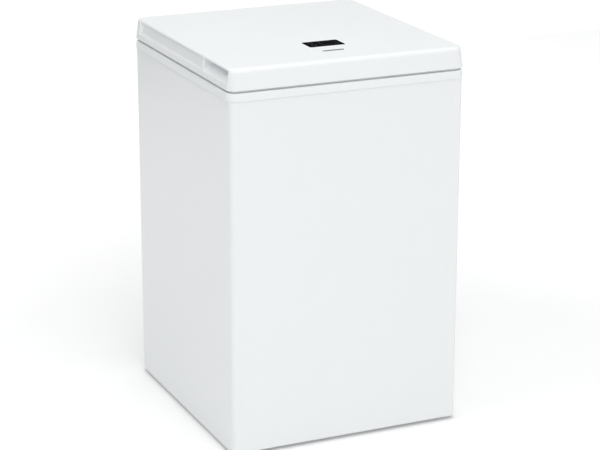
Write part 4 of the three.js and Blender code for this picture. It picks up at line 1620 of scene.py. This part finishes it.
def area_light(name, place, target, size, watts):
    """A soft box that shines from a place towards a target."""
    data = bpy.data.lights.new(name, "AREA")
    data.shape = "RECTANGLE"
    data.size, data.size_y = size
    data.energy = watts
    light = bpy.data.objects.new(name, data)
    bpy.context.scene.collection.objects.link(light)
    turn = (Vector(target) - Vector(place)).to_track_quat("-Z", "Y").to_matrix().to_4x4()
    light.matrix_world = Matrix.Translation(place) @ turn


def white_room():
    """A world that glows more from the right and above, and shows plain white to the camera."""
    world = bpy.data.worlds.new("white_room")
    world.use_nodes = True
    tree = world.node_tree
    tree.nodes.clear()
    way = add_node(tree, "ShaderNodeTexCoord").outputs["Generated"]
    facing = add_node(
        tree, "ShaderNodeVectorMath", {"operation": "DOT_PRODUCT"}, {0: way, 1: (0.75, -0.48, 0.45)}
    )
    glow = add_node(
        tree,
        "ShaderNodeMapRange",
        Value=facing.outputs["Value"],
        From_Min=-1.0,
        From_Max=1.0,
        To_Min=0.22,
        To_Max=0.62,
    )
    room = add_node(
        tree, "ShaderNodeBackground", Color=(0.985, 1.0, 0.993, 1), Strength=glow.outputs["Result"]
    )
    seen = add_node(tree, "ShaderNodeBackground", Color=(1, 1, 1, 1), Strength=1.02)
    camera_ray = add_node(tree, "ShaderNodeLightPath").outputs["Is Camera Ray"]
    mix = add_node(
        tree,
        "ShaderNodeMixShader",
        None,
        {0: camera_ray, 1: room.outputs["Background"], 2: seen.outputs["Background"]},
    )
    add_node(tree, "ShaderNodeOutputWorld", Surface=mix.outputs["Shader"])
    return world


def floor_paint():
    # matt white studio floor, lit a little more with distance so that no horizon shows
    material, tree, shader = new_material("matt_white_floor")
    shader.inputs["Base Color"].default_value = (0.95, 0.95, 0.95, 1)
    shader.inputs["Roughness"].default_value = 0.9
    shader.inputs["Specular IOR Level"].default_value = 0.1
    shader.inputs["Emission Color"].default_value = (1, 1, 1, 1)
    where = add_node(tree, "ShaderNodeTexCoord").outputs["Object"]
    distance = add_node(tree, "ShaderNodeVectorMath", {"operation": "LENGTH"}, {0: where})
    lift = add_node(
        tree,
        "ShaderNodeMapRange",
        Value=distance.outputs["Value"],
        From_Min=0.8,
        From_Max=2.4,
        To_Min=0.15,
        To_Max=0.4,
    )
    tree.links.new(lift.outputs["Result"], shader.inputs["Emission Strength"])
    return material


class FREEZER_OT_stage(Operator):
    """Sets up the white studio: floor, soft lights and camera"""

    bl_idname = "freezer.stage"
    bl_label = "Studio and camera"

    def execute(self, context):
        scene = context.scene
        scene.view_settings.view_transform = "Standard"
        scene.view_settings.look = "None"
        scene.world = white_room()
        area_light("front_softbox", (-0.7, -3.2, 3.2), (0, -0.2, 0.8), (2.4, 1.8), 40)
        area_light("side_softbox", (-2.4, -0.2, 3.4), (0, 0, 0.8), (1.2, 1.2), 18)
        area_light("overhead_softbox", (0.0, 0.0, 3.3), (0, 0, 0), (4.4, 4.4), 48)

        floor = bmesh.new()
        bmesh.ops.create_grid(floor, x_segments=1, y_segments=1, size=3)
        new_object("studio_floor", floor, floor_paint())

        data = bpy.data.cameras.new("camera")
        data.sensor_width = 36
        data.lens = 124.37
        data.clip_end = 100
        camera = bpy.data.objects.new("camera", data)
        scene.collection.objects.link(camera)
        place = Matrix.Translation((-1.7522, -3.9470, 1.7663))
        yaw, pitch, roll = 0.4214, 0.3080, 0.0017  # radians
        camera.matrix_world = (
            place
            @ Matrix.Rotation(-yaw, 4, "Z")
            @ Matrix.Rotation(math.pi / 2 - pitch, 4, "X")
            @ Matrix.Rotation(roll, 4, "Z")
        )
        scene.camera = camera
        return {"FINISHED"}


# ---- Add-on ----


PIECES = (
    FREEZER_OT_dress_frame,
    FREEZER_OT_cabinet,
    FREEZER_OT_collar,
    FREEZER_OT_tub,
    FREEZER_OT_lid_shell,
    FREEZER_OT_display,
    FREEZER_OT_lid_inside,
    FREEZER_OT_basket,
    FREEZER_OT_handles,
    FREEZER_OT_hinges,
    FREEZER_OT_back,
    FREEZER_OT_fittings,
    FREEZER_OT_stage,
)
GROUPS = {
    "freezer_lid": FreezerLidSizes,
    "freezer_cabinet": FreezerCabinetSizes,
    "freezer_basket": FreezerBasketSizes,
    "freezer_colours": FreezerColours,
}


class FREEZER_PT_builder(Panel):
    """Lists the freezer's sizes, colours and pieces"""

    bl_label = "Chest Freezer"
    bl_idname = "FREEZER_PT_builder"
    bl_space_type = "VIEW_3D"
    bl_region_type = "UI"
    bl_category = "Freezer"

    def draw(self, context):
        layout = self.layout
        for name, group in GROUPS.items():
            box = layout.box()
            values = getattr(context.scene, name)
            for key in group.__annotations__:
                box.prop(values, key)
        for piece in PIECES:
            layout.operator(piece.bl_idname)


def register():
    for cls in (*GROUPS.values(), *PIECES, FREEZER_PT_builder):
        bpy.utils.register_class(cls)
    for name, group in GROUPS.items():
        setattr(bpy.types.Scene, name, PointerProperty(type=group))


def unregister():
    for name in GROUPS:
        delattr(bpy.types.Scene, name)
    for cls in (FREEZER_PT_builder, *reversed(PIECES), *reversed(GROUPS.values())):
        bpy.utils.unregister_class(cls)


def main():
    register()
    for piece in PIECES:
        group, name = piece.bl_idname.split(".")
        getattr(getattr(bpy.ops, group), name)()


if __name__ == "__main__":
    main()
